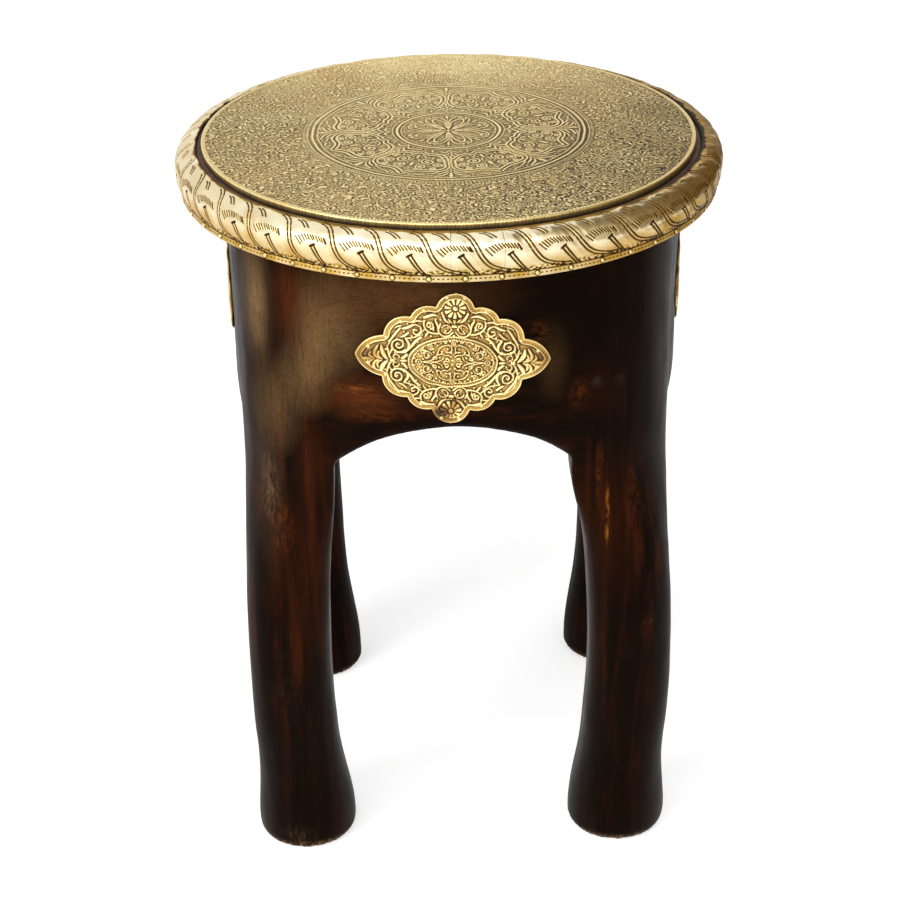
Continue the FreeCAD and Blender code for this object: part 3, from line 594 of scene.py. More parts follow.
def rim_heights(turn, s, flange):
    """Depth of the engraving on the rim and how dark each place is. turn is in degrees from the front."""
    chance = np.random.default_rng(5)
    around = np.radians(turn) * RIM_CELL_RADIUS
    relief, valley = Relief(around, s, 0.0), Relief(around, s, 0.0)
    whole = 2 * np.pi * RIM_CELL_RADIUS
    for middle, slant in zip(*RIM_PATTERN):
        place = math.radians(middle) * RIM_CELL_RADIUS
        state = chance.integers(1 << 30)
        for copy in (place - whole, place, place + whole):
            if around.min() - 40 < copy < around.max() + 40:
                engrave_cell(relief, valley, copy, slant, np.random.default_rng(state))
    front = np.clip(np.cos(np.radians(turn)), 0, 1)
    # Border line above the nailed flange, and a row of short dashes on it
    relief.height = np.minimum(relief.height, -0.22 * rounded(s - flange - 0.1, 0.4))
    dash = smooth(np.cos(around * 2 * np.pi / 2.45), -0.1, 0.5)
    relief.height = np.minimum(relief.height, -0.2 * dash * rounded(s - flange - 1.8, 0.4, 1.4))
    # Worn faint beyond the sides, and where the painted shade to the right and away from the front falls
    turned = np.mod(turn + 180, 360) - 180
    relief.height = relief.height * (1 - 0.6 * smooth(np.abs(turned), 64, 84) * (s < flange))
    right, facing = np.exp(-(((turned - 106) / 42) ** 2)), np.exp(-(((turned - 4) / 24) ** 2))
    dark = np.clip(-relief.height / 0.17, 0, 1)
    # Painted shadow round the head of each nail
    pitch = 360 / RIM_PINS
    from_pin = np.radians(np.mod(turn - 90, pitch) - pitch / 2) * FLANGE_RADIUS
    ring = np.hypot(from_pin, s - flange - (FLANGE_TOP - RIM_PIN_LEVEL))
    dark = np.maximum(dark, 0.9 * fade(ring, 1.45, 1.95))
    # Beaten dents, in which the light breaks up
    u, v = around + 480, s + 30
    broad, small, grain = (noise.at(v, u) for noise in RIM_NOISE)
    broad_dents, small_dents = (noise.at(u, v) for noise in RIM_NOISE[:2])
    dents = broad_dents * 0.10 + small_dents * 0.035
    calm = smooth(s, 1.5, 5) * fade(s, flange - 2.5, flange)
    ripple = 0.03 * small
    # Painted shadow in the groove, dirt at the foot, painted shade deepening to gold towards the foot, and
    # painted shade to the right
    smudge = (1 + 1.2 * front) * smooth(s, flange - 4.5, flange - 0.6) * fade(s, flange, flange + 0.6)
    # Painted shadow in the groove below the seat's edge, narrower at the front and wider to the right
    start = 1.6 + 2.6 * front + 0.3 * broad
    reach = np.maximum(1.2 + 1.0 * front + 0.4 * small, 0.5) + 1.6 * right
    groove = (1 - 0.28 * front) * fade(s, start, start + reach)
    # Painted shade deepening to gold towards the foot, which faces the dim floor
    painted_low_shade = 0.18 * smooth(s, 17, 25) * fade(s, flange - 0.5, flange + 0.2)
    sunk = smooth(-valley.height, 0.0, 1.0)
    nailed = 0.24 * smooth(s, flange - 0.1, flange + 0.4)
    # Painted shade away from the front and off its middle; the faint base, the broad tone and the nailed
    # flange are the brass's own
    stain = 0.01 + 0.06 * (1 - front) + 0.08 * (1 - facing) + 0.03 * broad + painted_low_shade + nailed
    # Painted shade along each S valley
    stain += 0.06 * sunk * smooth(s, 9, 18)
    # Painted shade to the right, where the rim reflects dark
    stain += 0.50 * right * (1 + 0.22 * broad_dents + 0.14 * small_dents)
    blots = smudge * np.clip(0.12 + 0.36 * grain, 0, 0.8)
    dark = np.maximum(dark, np.clip(stain, 0, 0.62) + blots + 0.85 * groove)
    height = relief.height + np.minimum((dents - 0.12) * calm, 0) + np.minimum(ripple - 0.03, 0) * (1 - calm)
    height -= 0.2 * sunk * calm
    return height, np.clip(dark, 0, 1)


def rim_piece(name, start, turn):
    """Part of the rim's sheet: an engraved face, a plain back, and closed ends."""
    columns = max(int(turn / 360 * RIM_COLUMNS), 8)
    face = np.linspace(0, RIM_FACE, RIM_ROWS)
    radius, level, flange = rim_profile(face)
    turns = start + turn * np.arange(columns) / (columns - 1)
    grid_turn, grid_s = np.meshgrid(turns, face)
    height, dark = rim_heights(grid_turn.ravel(), grid_s.ravel(), flange)
    out = np.stack([np.gradient(-level), np.gradient(radius)], 1)
    out /= np.hypot(*out.T)[:, None]
    height = height.reshape(grid_turn.shape)
    at_radius = radius[:, None] + out[:, :1] * height
    at_level = level[:, None] + out[:, 1:] * height
    back = np.arange(RIM_ROWS - 1, -1, -RIM_BACK_STEP)
    back_radius = (radius - BRASS * out[:, 0])[back][:, None] * np.ones(columns)
    back_level = np.maximum((level - BRASS * out[:, 1])[back], BOARD_UNDER)[:, None] * np.ones(columns)
    at_radius, at_level = np.vstack([at_radius, back_radius]), np.vstack([at_level, back_level])
    around = np.radians(turns)[None, :]
    points = np.stack([at_radius * np.sin(around), -at_radius * np.cos(around), at_level], -1).reshape(-1, 3)
    rows = len(at_radius)
    faces = [grid_faces(rows, columns, False)]
    j = np.arange(columns - 1)
    last = (rows - 1) * columns
    faces.append(np.stack([last + j, last + j + 1, j + 1, j], -1))
    ends = np.arange(rows) * columns
    faces += [ends[::-1][None, :], (ends + columns - 1)[None, :]]
    dark = np.concatenate([dark, np.full(len(back) * columns, 0.9)])
    return make_mesh(name, points, [f[:, ::-1] for f in faces], {"patina": dark})


# Ornament of the medallions: one quarter, which the fold repeats

OVAL_LOOPS = (
    (0.72, 6, 5.4, 7.7, 4.6, 8, 6.6, 6.6, 8.6, 4.6, 9.6, 2.2, 9.9, 0.9, 8.4, 1.6, 6.4, 3.6, 6.2),
    (0.66, 6, 5.4, 4.4, 4.4, 2.6, 4.6, 1.4, 3.4), (0.68, 16.2, 0, 13.6, 0.3, 11, 1, 8.6, 4, 8.2, 5.6),
    (0.62, 11.6, 0.6, 8.6, 0.2, 6, 1.4, 5, 3.2),
)
OVAL_CURLS = (
    (0.68, 13.5, 3.9, 2.5, 1, 170, -1.2), (0.68, 12, 8.8, 1.8, 0.7, 200, 1.2),
    (0.68, 0, 10.8, 1.1, 1.1, 0, 1), (0.68, 17.9, 0, 1.5, 1.2, 0, 1), (0.68, 16.4, 5.8, 1.2, 0.6, 90, 1.2),
    (0.68, 4.2, 11.6, 0.8, 0.5, 0, 1.2), (0.68, 9.2, 2.4, 1.1, 0.6, 300, 1.2),
    (0.68, 3.2, 1.6, 1.2, 0.6, 60, 1.2),
)
OVAL_DOTS = (
    6, 6.2, 3.1, 7.8, 13, 3.7, 12, 8.8, 20, 1.9, 10.2, 5.9, 8.4, 9.7, 16, 7.9, 10.4, 7.8, 18.4, 4.4,
    17.9, 0, 0, 10.8, 6.6, 11, 9.6, 10.6, 14.6, 6.6, 1.9, 12, 15.6, 1.6, 4.6, 0.6, 1, 3.6, 1.2, 6,
    7, 2.9, 0.3, 1.2,
)
KNOTS = ((2, 31, 0, 32.2, 0), (1.9, 0, 20.2, 0.8, 20.2))
PALMETTE_BUDS = ((1.9, 27.2, 1.5, 25.6, 2.2, 23.9, 4), (1.7, 27.8, 0, 26.4, 0, 24.6, 0))
PALMETTE_PETALS = (
    (2.4, 34, 0.5, 35.4, 1.8, 36.9, 4.4, 37.6, 7.9), (1.5, 36.8, 0.3, 38.7, 1.3, 39.3, 2.9, 38.7, 4.9),
    (1.9, 38.6, 0.3, 40.6, 1.9, 41.1, 4.4, 39.3, 8.1), (1.5, 41, 0.3, 42.6, 1.1, 43.7, 2.5, 43, 4.6),
    (2, 42.6, 0, 44.2, 0, 46, 0, 47.2, 0), (1.2, 33, 1.2, 33.6, 3.6, 34.6, 8),
)
STEMS = (
    (0.8, 31.9, 0.8, 33.2, 3, 32.4, 5.2), (0.85, 24.2, 13, 19.4, 14.5, 15.6, 17.8),
    (1, 26.6, 18.3, 23.6, 19.7, 20.4, 20.6, 17.8, 19.2, 17.4, 16.8, 19.2, 15.4, 21, 16.3, 20.8, 17.9,
     19.5, 17.7),
    (1.15, 15.8, 23, 16.1, 20.4, 14.3, 17.6, 11.3, 16.4, 8.4, 16.4),
    (1.1, 7.3, 21.4, 8.3, 18.2, 6.4, 15.5, 3.2, 15, 0.8, 16.8),
)
CURLS = (
    (0.8, 29.6, 2.4, 1.6, 1.4, 200, -0.8), (1.05, 28.6, 9, 4.4, 0.9, 215, 1.55),
    (0.95, 13.1, 20.4, 2.2, 0.6, 250, -1.3), (0.8, 4.2, 18.6, 2.6, 2, 20, 0.8),
)
LARGE_LEAVES = (
    (2.2, 27, 4.6, 23.9, 6.4, 23.2, 9.6, 25, 12.8), (2.1, 25.2, 4.6, 21.8, 8.8, 19.6, 12, 16.8, 14),
    (1.9, 34.2, 7.4, 32.8, 11.6, 30.4, 15.2, 28, 18.3), (1.8, 27.8, 13.4, 25.8, 14.2, 23.6, 16.2),
    (2.2, 27.2, 17.9, 24.6, 18.8, 21.4, 20.4), (1.9, 0, 21.4, 0, 23.6, 0, 26.2),
    (1.5, 0.9, 22, 2.4, 23.4, 3.9, 26.4), (2, 2.6, 22.2, 5, 23.9, 6.9, 27.2),
)
SMALL_LEAVES = (
    (1.3, 15, 13.9, 14.4, 15.2, 13.4, 16.6), (1.5, 8.4, 17.6, 8.6, 20.2, 10.2, 23),
    (2, 8.6, 25.2, 11.6, 25.9, 15.8, 24.5), (1.2, 10.4, 17.4, 10.9, 18.6, 10.6, 19.6),
    (0.9, 18.6, 13.2, 17.6, 14.6, 18, 16), (1.2, 22.6, 21.2, 19.6, 22.6, 16.8, 22.4),
    (1, 31.2, 17.6, 29.6, 19, 27.4, 19.8), (0.9, 29.4, 5.8, 31.4, 6, 32.4, 7.8),
)
OUTER_DOTS = (
    32.2, 5.6, 30.2, 4.6, 28.6, 9, 19.6, 17.5, 11.8, 14.7, 13, 21.4, 16.6, 15.4, 22.4, 12.4, 26, 16.6,
    29.6, 12.2, 21.8, 14.4, 24.4, 21, 7.4, 23.4, 33.8, 10.8, 35.2, 5.8, 10, 23.6, 18.8, 11.4, 26.8, 11.4,
)
DAISY_DOTS = (3.4, 19.6, 4.7, 17.8, 0, 15.2, 1.6, 18.4)
DAISIES, DAISY_PETALS = (28.8, -30.4), 11
# Places, reach and strength of the brown stains, and of the burnt places: the lower daisy and both tips
STAINS = (((-44, -1), 9, 0.36), ((46, -1), 8, 0.34), ((0, -30), 7, 0.3), ((0, 33), 9, 0.14))
BURNS = (((-4.5, -32), 5.5, 0.95), ((1.5, -26.5), 3.5, 0.5), ((-44, 1), 7, 0.48), ((46, 0), 6, 0.42))


def medallion_outline():
    """One quarter of the outline, from the tip to the middle of the upper lobe."""
    size = np.array([MEDALLION_HALF_WIDTH, MEDALLION_HALF_HEIGHT])
    corners = np.array(CORNER_SHARES) * size
    points = []
    for a, b, share in zip(corners[:-1], corners[1:], LOBE_SHARES):
        chord = np.hypot(*(b - a))
        bend = share * chord
        way = (b - a) / chord
        inward = np.array([-way[1], way[0]])
        if inward @ (a + b) > 0:
            inward = -inward
        centre = (a + b) / 2 + inward * math.sqrt(max(bend**2 - chord**2 / 4, 0))
        turn_a, turn_b = (math.atan2(*(p - centre)[::-1]) for p in (a, b))
        turn = (turn_b - turn_a + np.pi) % (2 * np.pi) - np.pi
        t = turn_a + turn * np.linspace(0, 1, 40)[:, None]
        points.append(centre + bend * np.hstack([np.cos(t), np.sin(t)]))
    return np.vstack([p[:-1] for p in points[:-1]] + [points[-1][:20], [[0, MEDALLION_HALF_HEIGHT]]])


def whole_outline():
    """The closed outline, from the right tip round."""
    quarter = medallion_outline()
    half = np.vstack([quarter, (quarter * (-1, 1))[::-1][1:]])
    return np.vstack([half, (half * (1, -1))[::-1][1:]])


def medallion_relief(chart, edge):
    """Heights of a medallion over its flat ground. edge is the distance in from its outline."""
    x, y = chart.x, chart.y
    fine, wide = Noise(130, 0.4, 1.1, 0.5), Noise(130, 1.0, 14, 0.5)
    a, b = x + 60, y + 60
    low = y + 2.2 * np.clip(1 - (y / 36) ** 2, 0, 1)
    across, up = np.abs(x + 0.10 * wide.at(a, b)), np.abs(low + 0.10 * wide.at(b, a))
    drawn = Relief(across, up, np.zeros(len(x)))
    # Oval frame with a row of beads between its two lines, and what is inside it
    drawn.ridge(ellipse(23.2, 14.4), 1.0, 0.9)
    drawn.ridge(ellipse(21.2, 12.6), 0.7, 0.55)
    beads = smooth(np.cos(np.arctan2(up / 13.5, across / 22.2) * 100), -0.3, 0.5)
    away = np.abs(np.hypot(across / 22.2, up / 13.5) - 1) * 17
    drawn.height = np.maximum(drawn.height, 0.35 * beads * (away < 0.45))
    drawn.lines(OVAL_LOOPS + STEMS, 0.75)
    drawn.curls(OVAL_CURLS + CURLS, 0.75)
    drawn.dots(OVAL_DOTS, 1.15, 0.85)
    # Palmettes at the tips, curls and leaves at the diagonals, and a tulip under each daisy
    drawn.lines(KNOTS, 0.95)
    drawn.lines(PALMETTE_PETALS, 0.75, 1.1, 0.25)
    drawn.leaves(PALMETTE_BUDS + SMALL_LEAVES, 0.75, 1.2)
    drawn.leaves(LARGE_LEAVES, 0.75)
    drawn.dots(OUTER_DOTS, 1.15, 0.7)
    drawn.dots(DAISY_DOTS, 1.2, 0.7)
    # Daisies, whose odd number of petals the fold can't give
    for middle in DAISIES:
        out, angle = np.hypot(x, y - middle), np.arctan2(y - middle, x)
        turn = np.mod(angle / (2 * np.pi) * DAISY_PETALS + 0.25, 1) - 0.5
        petal = rounded(turn, 0.40 - 0.10 * smooth(out, 4.6, 6.2), 1.5)
        petal *= smooth(out, 1.9, 2.4) * fade(out, 5.4, 6.0)
        daisy = np.maximum(0.75 * petal, 0.95 * rounded(out, 1.6))
        drawn.height = np.where(out < 6.6, daisy, drawn.height)
    # The middle is rubbed nearly flat
    rubbed = fade(np.hypot(x / 8.0, (low - 0.3) / 3.6), 0.3, 1.0)
    height = drawn.height * (1 - 0.5 * rubbed) + 0.24 * rubbed * np.abs(fine.at(b, a))
    height -= 0.10 * np.abs(fine.at(a, b)) * (height < 0.3)
    # Flat nailed border between two raised lines
    border = fade(edge, 2.75, 3.0)
    hatch = 0.07 * smooth(np.cos((x + y) * 2 * np.pi / 1.3), -0.2, 0.6) * border * smooth(edge, 1.2, 1.6)
    height = height * (1 - border) + (0.26 - hatch) * border
    for line, half, lift in ((3.05, 0.42, 0.68), (0.5, 0.5, 0.55)):
        height = np.maximum(height, lift * rounded(edge - line, half))
    cavity = chart.blur(height, 0.6) - height
    oval = fade(np.hypot(across / 21.6, up / 13.0), 0.94, 1.0)
    open_ground = 0.14 * fade(height, 0.1, 0.4) * (1 - 0.6 * oval)

    def off(place, reach):
        return ((x - place[0]) / reach) ** 2 + ((y - place[1]) / reach) ** 2

    stain = 0.05 * wide.at(a, b) + 0.04 * fine.at(b, a)
    for place, reach, share in STAINS:
        stain += share * np.exp(-off(place, reach))
    dark = 0.26 + 1.0 * cavity / 0.3 + open_ground + stain - 0.06 * border
    for place, reach, share in BURNS:
        burnt = share * np.exp(-off(place, reach) ** 1.5)
        dark = np.maximum(dark, burnt * (1 + 0.12 * wide.at(b, a) + 0.7 * np.clip(cavity, -0.3, 0.3)))
    height += 0.10 * wide.at(b, a) - 0.25 * fade(edge, 0.0, 0.5)
    return height, np.clip(dark, 0, 1)


def inset(x, y, outline):
    """Distance of points in from a closed outline."""
    best = np.full(len(x), np.inf)
    for (ax, ay), (bx, by) in zip(outline[:-1], outline[1:]):
        step = (bx - ax) ** 2 + (by - ay) ** 2
        if step < 1e-9:
            continue
        t = np.clip(((x - ax) * (bx - ax) + (y - ay) * (by - ay)) / step, 0, 1)
        best = np.minimum(best, np.hypot(x - ax - t * (bx - ax), y - ay - t * (by - ay)))
    return best


def medallion_shape():
    """Flat places, heights and tarnish that the four medallions share."""
    outline = whole_outline()
    steps = np.concatenate([[0], np.cumsum(np.hypot(*np.diff(outline, axis=0).T))])
    steps /= steps[-1]
    share, angle = disc_points(np.arange(1, MEDALLION_RINGS + 1) / MEDALLION_RINGS)
    place = angle / (2 * np.pi)
    x = share * np.interp(place, steps, outline[:, 0])
    y = share * np.interp(place, steps, outline[:, 1])
    chart = Map(MEDALLION_HALF_WIDTH + 1, MEDALLION_HALF_HEIGHT + 1, MEDALLION_MAP_STEP)
    height, dark = medallion_relief(chart, inset(chart.x, chart.y, outline[::2]))
    return x, y, chart.read(height, x, y), chart.read(dark, x, y)


def medallion(side, shape):
    """One medallion, bent to the swell of its apron and hung a little askew."""
    x, y, height, dark = shape
    last = 6 * MEDALLION_RINGS
    x, y = (np.concatenate([v, v[-last:], [0.0]]) for v in (x, y))
    out = np.concatenate([BRASS + height, np.zeros(last + 1)]) + MEDALLION_GAP
    dark = np.concatenate([dark, np.full(last + 1, 0.7)])
    tilt = math.radians(-TILTS[side])
    across = x * math.cos(tilt) - y * math.sin(tilt) + SHIFTS[side]
    up = x * math.sin(tilt) + y * math.cos(tilt) + MEDALLION_MIDDLE
    bulge = BULGES[side]
    bend = (GLUE_FACE**2 + bulge**2) / (2 * bulge)
    turn = np.arcsin(across / bend)
    flat = np.stack([(bend + out) * np.sin(turn), (bend + out) * np.cos(turn) - bend], 1)
    turned = math.radians(TURNS[side])
    depth = -(FRAME_FACE + bulge + flat[:, 1])
    points = np.stack([
        flat[:, 0] * math.cos(turned) - depth * math.sin(turned),
        flat[:, 0] * math.sin(turned) + depth * math.cos(turned),
        up,
    ], 1)
    first = len(x) - 1 - 2 * last
    j = np.arange(last)
    k = (j + 1) % last
    edge = np.stack([first + j, first + last + j, first + last + k, first + k], -1)
    back = np.stack([first + last + k, first + last + j, np.full(last, len(x) - 1)], -1)
    return make_mesh("ornament_" + side, points, [disc_faces(MEDALLION_RINGS), edge, back], {"patina": dark})


# Carved wood

def carved_frame():
    """Legs and aprons as one carved surface, smoothed where they meet and slightly uneven."""
    joined = bmesh.new()
    for name in LEGS + tuple("apron_" + side for side in BULGES) + ("joint_dowels",):
        joined.from_mesh(NODES[name].data)
    for vertex in joined.verts:
        if vertex.co.z > (BOARD_UNDER - 0.5) * MM:
            vertex.co.z += TRIM * MM
    mesh = bpy.data.meshes.new("carving")
    joined.to_mesh(mesh)
    joined.free()
    carving = add_object("carving", mesh)
    remesh = carving.modifiers.new("remesh", "REMESH")
    remesh.mode, remesh.voxel_size = "VOXEL", VOXEL * MM
    soften = carving.modifiers.new("soften", "SMOOTH")
    soften.factor, soften.iterations = 0.5, 5
    evaluated = carving.evaluated_get(bpy.context.evaluated_depsgraph_get())
    made = bpy.data.meshes.new_from_object(evaluated)
    bpy.data.objects.remove(carving)
    count = len(made.vertices)
    places, normals = np.zeros(count * 3, np.float32), np.zeros(count * 3, np.float32)
    made.vertices.foreach_get("co", places)
    made.vertices.foreach_get("normal", normals)
    places, normals = places.reshape(-1, 3).astype(float) / MM, normals.reshape(-1, 3).astype(float)
    stretched = places * (1, 1, 0.55)
    carve = 0.26 * waves(stretched, 34, 70) + 0.04 * waves(stretched, 10, 18) - 0.1
    low = smooth(places[:, 2], 0.5, 8)
    places += normals * (carve * low)[:, None]
    # The right front leg is fuller under the end of the arch
    x, y, z = places.T
    fuller = smooth(x, 30, 60) * fade(x, 68, 100) * fade(y, -90, -55)
    places[:, 0] -= 5.2 * fuller * np.exp(-(((z - 250) / np.where(z > 250, 20, 30)) ** 2))
    places[:, 2] = np.where(places[:, 2] < 0.7, 0.0, places[:, 2])
    made.vertices.foreach_set("co", (places * MM).astype(np.float32).ravel())
    # How far each place stands out from its neighbours, for worn edges
    ends = np.zeros(len(made.edges) * 2, np.int32)
    made.edges.foreach_get("vertices", ends)
    a, b = ends.reshape(-1, 2).T
    joins = np.bincount(a, minlength=count) + np.bincount(b, minlength=count)
    stands = places.copy()
    for _ in range(6):
        sums = [np.bincount(a, v[b], count) + np.bincount(b, v[a], count) for v in stands.T]
        stands = 0.5 * stands + 0.5 * np.stack(sums, 1) / np.maximum(joins, 1)[:, None]
    proud = ((places - stands) * normals).sum(1)
    worn = made.attributes.new("worn", "FLOAT", "POINT")
    worn.data.foreach_set("value", np.clip(proud / 0.8, 0, 1).astype(np.float32))
    return made


def close(piece, edges):
    """Fills flat openings and keeps their rims sharp."""
    for edge in edges:
        edge.smooth = False
    bmesh.ops.triangle_fill(piece, use_beauty=True, edges=edges)


def cut_frame(made):
    """Cuts the carved surface at the board and the glue faces, and gives each part its own mesh."""
    whole = bmesh.new()
    whole.from_mesh(made)
    bmesh.ops.bisect_plane(
        whole, geom=whole.verts[:] + whole.edges[:] + whole.faces[:],
        plane_co=(0, 0, BOARD_UNDER * MM), plane_no=(0, 0, 1), clear_outer=True,
    )
    close(whole, [e for e in whole.edges if e.is_boundary])
    level, cut = LEG_TOP_LEVEL * MM, (GLUE_FACE - CUT_INSET) * MM
    sides = [(axis, sign) for axis in (0, 1) for sign in (-1, 1)]
    for axis, sign in sides:
        place, way = [0.0] * 3, [0.0] * 3
        place[axis], way[axis] = sign * cut, float(sign)
        upper = [f for f in whole.faces if f.calc_center_median().z > level]
        verts, edges = {v for f in upper for v in f.verts}, {e for f in upper for e in f.edges}
        bmesh.ops.bisect_plane(whole, geom=list(verts) + list(edges) + upper, plane_co=place, plane_no=way)
    groups = {}
    whole.faces.index_update()
    for face in whole.faces:
        middle = face.calc_center_median()
        x, y = middle.x, middle.y
        if middle.z > level and abs(x) < cut and abs(y) > cut:
            name = "apron_front" if y < 0 else "apron_back"
        elif middle.z > level and abs(y) < cut and abs(x) > cut:
            name = "apron_left" if x < 0 else "apron_right"
        else:
            name = "leg_%s_%s" % ("front" if y < 0 else "back", "left" if x < 0 else "right")
        groups.setdefault(name, set()).add(face.index)
    pieces = {}
    for name, wanted in groups.items():
        piece = whole.copy()
        unwanted = [f for i, f in enumerate(piece.faces) if i not in wanted]
        bmesh.ops.delete(piece, geom=unwanted, context="FACES")
        for axis, sign in sides:
            close(piece, [
                e for e in piece.edges
                if e.is_boundary and all(abs(v.co[axis] - sign * cut) < 0.02 * MM for v in e.verts)
            ])
        for face in piece.faces:
            face.smooth = True
        bmesh.ops.recalc_face_normals(piece, faces=piece.faces[:])
        mesh = bpy.data.meshes.new("carved_" + name)
        piece.to_mesh(mesh)
        piece.free()
        pieces[name] = add_object("carved_" + name, mesh)
    whole.free()
    return pieces


# Materials

class NodeTree:
    """The nodes of a material or a world, and short calls that add to them."""

    def __init__(self, owner):
        owner.use_nodes = True
        self.owner, self.nodes, self.links = owner, owner.node_tree.nodes, owner.node_tree.links

    def put(self, socket, value):
        if isinstance(value, bpy.types.NodeSocket):
            self.links.new(value, socket)
        else:
            socket.default_value = value

    def add(self, kind, inputs=None, **settings):
        node = self.nodes.new(kind)
        for key, value in settings.items():
            setattr(node, key, value)
        for key, value in (inputs or {}).items():
            self.put(node.inputs[key], value)
        return node

    def calc(self, operation, a, b, clamp=False):
        return self.add("ShaderNodeMath", {0: a, 1: b}, operation=operation, use_clamp=clamp).outputs[0]

    def plus(self, a, b, clamp=False):
        return self.calc("ADD", a, b, clamp)

    def times(self, a, b, clamp=False):
        return self.calc("MULTIPLY", a, b, clamp)

    def vector(self, operation, *inputs, out="Vector"):
        return self.add("ShaderNodeVectorMath", dict(enumerate(inputs)), operation=operation).outputs[out]

    def seen(self):
        """1 for what the camera, a reflection or a view through glass sees, 0 for light on things."""
        path = self.add("ShaderNodeLightPath").outputs
        seen = path["Is Camera Ray"]
        for kind in ("Is Glossy Ray", "Is Transmission Ray"):
            seen = self.calc("MAXIMUM", seen, path[kind])
        return seen


class Look(NodeTree):
    """A material with its usual shader."""

    def __init__(self, name):
        super().__init__(bpy.data.materials.new(name))
        self.shader = self.nodes["Principled BSDF"]
        self.place = self.add("ShaderNodeTexCoord").outputs["Object"]

    def finish(self, **inputs):
        for key, value in inputs.items():
            self.put(self.shader.inputs[key.replace("_", " ")], value)
        return self.owner

    def value(self, name):
        return self.add("ShaderNodeAttribute", attribute_name=name).outputs["Fac"]

    def noise(self, size, stretch=(1, 1, 1), detail=4.0, rough=0.55, bent=0.0):
        """Noise with features of about that many millimetres, longer along the stretched axes."""
        scale = [1 / (size * MM * s) for s in stretch]
        moved = self.add("ShaderNodeMapping", {"Vector": self.place, "Scale": scale}).outputs[0]
        settings = {"Vector": moved, "Scale": 1.0, "Detail": detail, "Roughness": rough, "Distortion": bent}
        return self.add("ShaderNodeTexNoise", settings).outputs["Fac"]

    def ramp(self, factor, *stops):
        node = self.add("ShaderNodeValToRGB", {"Fac": factor})
        elements = node.color_ramp.elements
        while len(elements) < len(stops):
            elements.new(0.5)
        for element, (place, colour) in zip(elements, stops):
            element.position, element.color = place, colour
        return node.outputs["Color"]

    def span(self, value, low, high, first=0.0, last=1.0):
        settings = {"Value": value, "From Min": low, "From Max": high, "To Min": first, "To Max": last}
        return self.add("ShaderNodeMapRange", settings).outputs["Result"]

    def mix(self, factor, a, b, blend="MIX"):
        node = self.add("ShaderNodeMix", {0: factor, 6: a, 7: b}, data_type="RGBA", blend_type=blend)
        return node.outputs[2]

    def bump(self, height, distance, strength=1.0):
        settings = {"Height": height, "Distance": distance * MM, "Strength": strength}
        return self.add("ShaderNodeBump", settings).outputs["Normal"]

    def spot(self, centre, reach, soft=0.5):
        """1 near a place in millimetres, 0 beyond its reach along each axis."""
        moved = self.vector("SUBTRACT", self.place, [c * MM for c in centre])
        scaled = self.vector("MULTIPLY", moved, [1 / (r * MM) for r in reach])
        return self.span(self.vector("LENGTH", scaled, out="Value"), 1.0, 1.0 - soft)


def rgb(*values):
    """A colour from screen values of 0 to 255, as linear light."""
    share = [v / 255 for v in values]
    return tuple(v / 12.92 if v < 0.04045 else ((v + 0.055) / 1.055) ** 2.4 for v in share) + (1.0,)


def brass(name, bright, middle, dark, gloss, cloudy, cut=0.45):
    """Old brass: bright on its high places, brown in its cuts, with fine scratches and faint stains.

    cut is how metallic the bottoms of the cuts still are, where dirt covers the brass.
    """
    look = Look(name)
    # patina holds the tarnish, and on the seat and the rim painted shade and painted shadow as well
    patina = look.value("patina")
    cloud = look.noise(26, detail=5)
    speck = look.noise(1.6, detail=3)
    aged = look.plus(patina, look.span(cloud, 0.35, 0.75, -0.04 * cloudy, 0.10 * cloudy))
    aged = look.plus(aged, look.span(speck, 0.45, 0.8, 0.0, 0.08 * cloudy), clamp=True)
    colour = look.ramp(aged, (0.0, bright), (0.42, middle), (1.0, dark))
    tint = look.ramp(look.noise(44, detail=3), (0.3, rgb(255, 245, 228)), (0.7, rgb(255, 255, 250)))
    colour = look.mix(1.0, colour, tint, "MULTIPLY")
    rough = look.plus(look.span(aged, 0.0, 0.9, gloss, 0.62), look.span(speck, 0.3, 0.8, -0.03, 0.05))
    scratches = [look.noise(0.9, stretch, detail=3, bent=0.4) for stretch in ((9, 1, 1), (1, 9, 4))]
    normal = look.bump(look.plus(look.plus(*scratches), speck), 0.018, 0.5)
    metal = look.span(aged, 0.35, 1.0, 1.0, cut)
    return look.finish(Base_Color=colour, Metallic=metal, Roughness=rough, Normal=normal)


def pin_brass():
    """Small nails, dull brass with painted shade at the foot."""
    look = Look("pin_brass")
    cloud = look.noise(3.0, detail=4)
    colour = look.ramp(cloud, (0.3, rgb(206, 170, 100)), (0.5, rgb(246, 222, 158)), (0.8, rgb(252, 236, 184)))
    # The heads face away from the stool's axis, so a place that faces elsewhere is near the foot
    away = look.vector("NORMALIZE", look.vector("MULTIPLY", look.place, (1, 1, 0)))
    faces = look.add("ShaderNodeNewGeometry").outputs["Normal"]
    outward = look.vector("DOT_PRODUCT", away, faces, out="Value")
    # Painted shade round the foot of each head
    colour = look.mix(look.span(outward, 0.45, 0.72, 0.85, 0.0), colour, rgb(64, 42, 20))
    rough = look.span(cloud, 0.3, 0.7, 0.55, 0.42)
    normal = look.bump(look.noise(0.7), 0.04)
    return look.finish(Base_Color=colour, Metallic=1.0, Roughness=rough, Normal=normal)


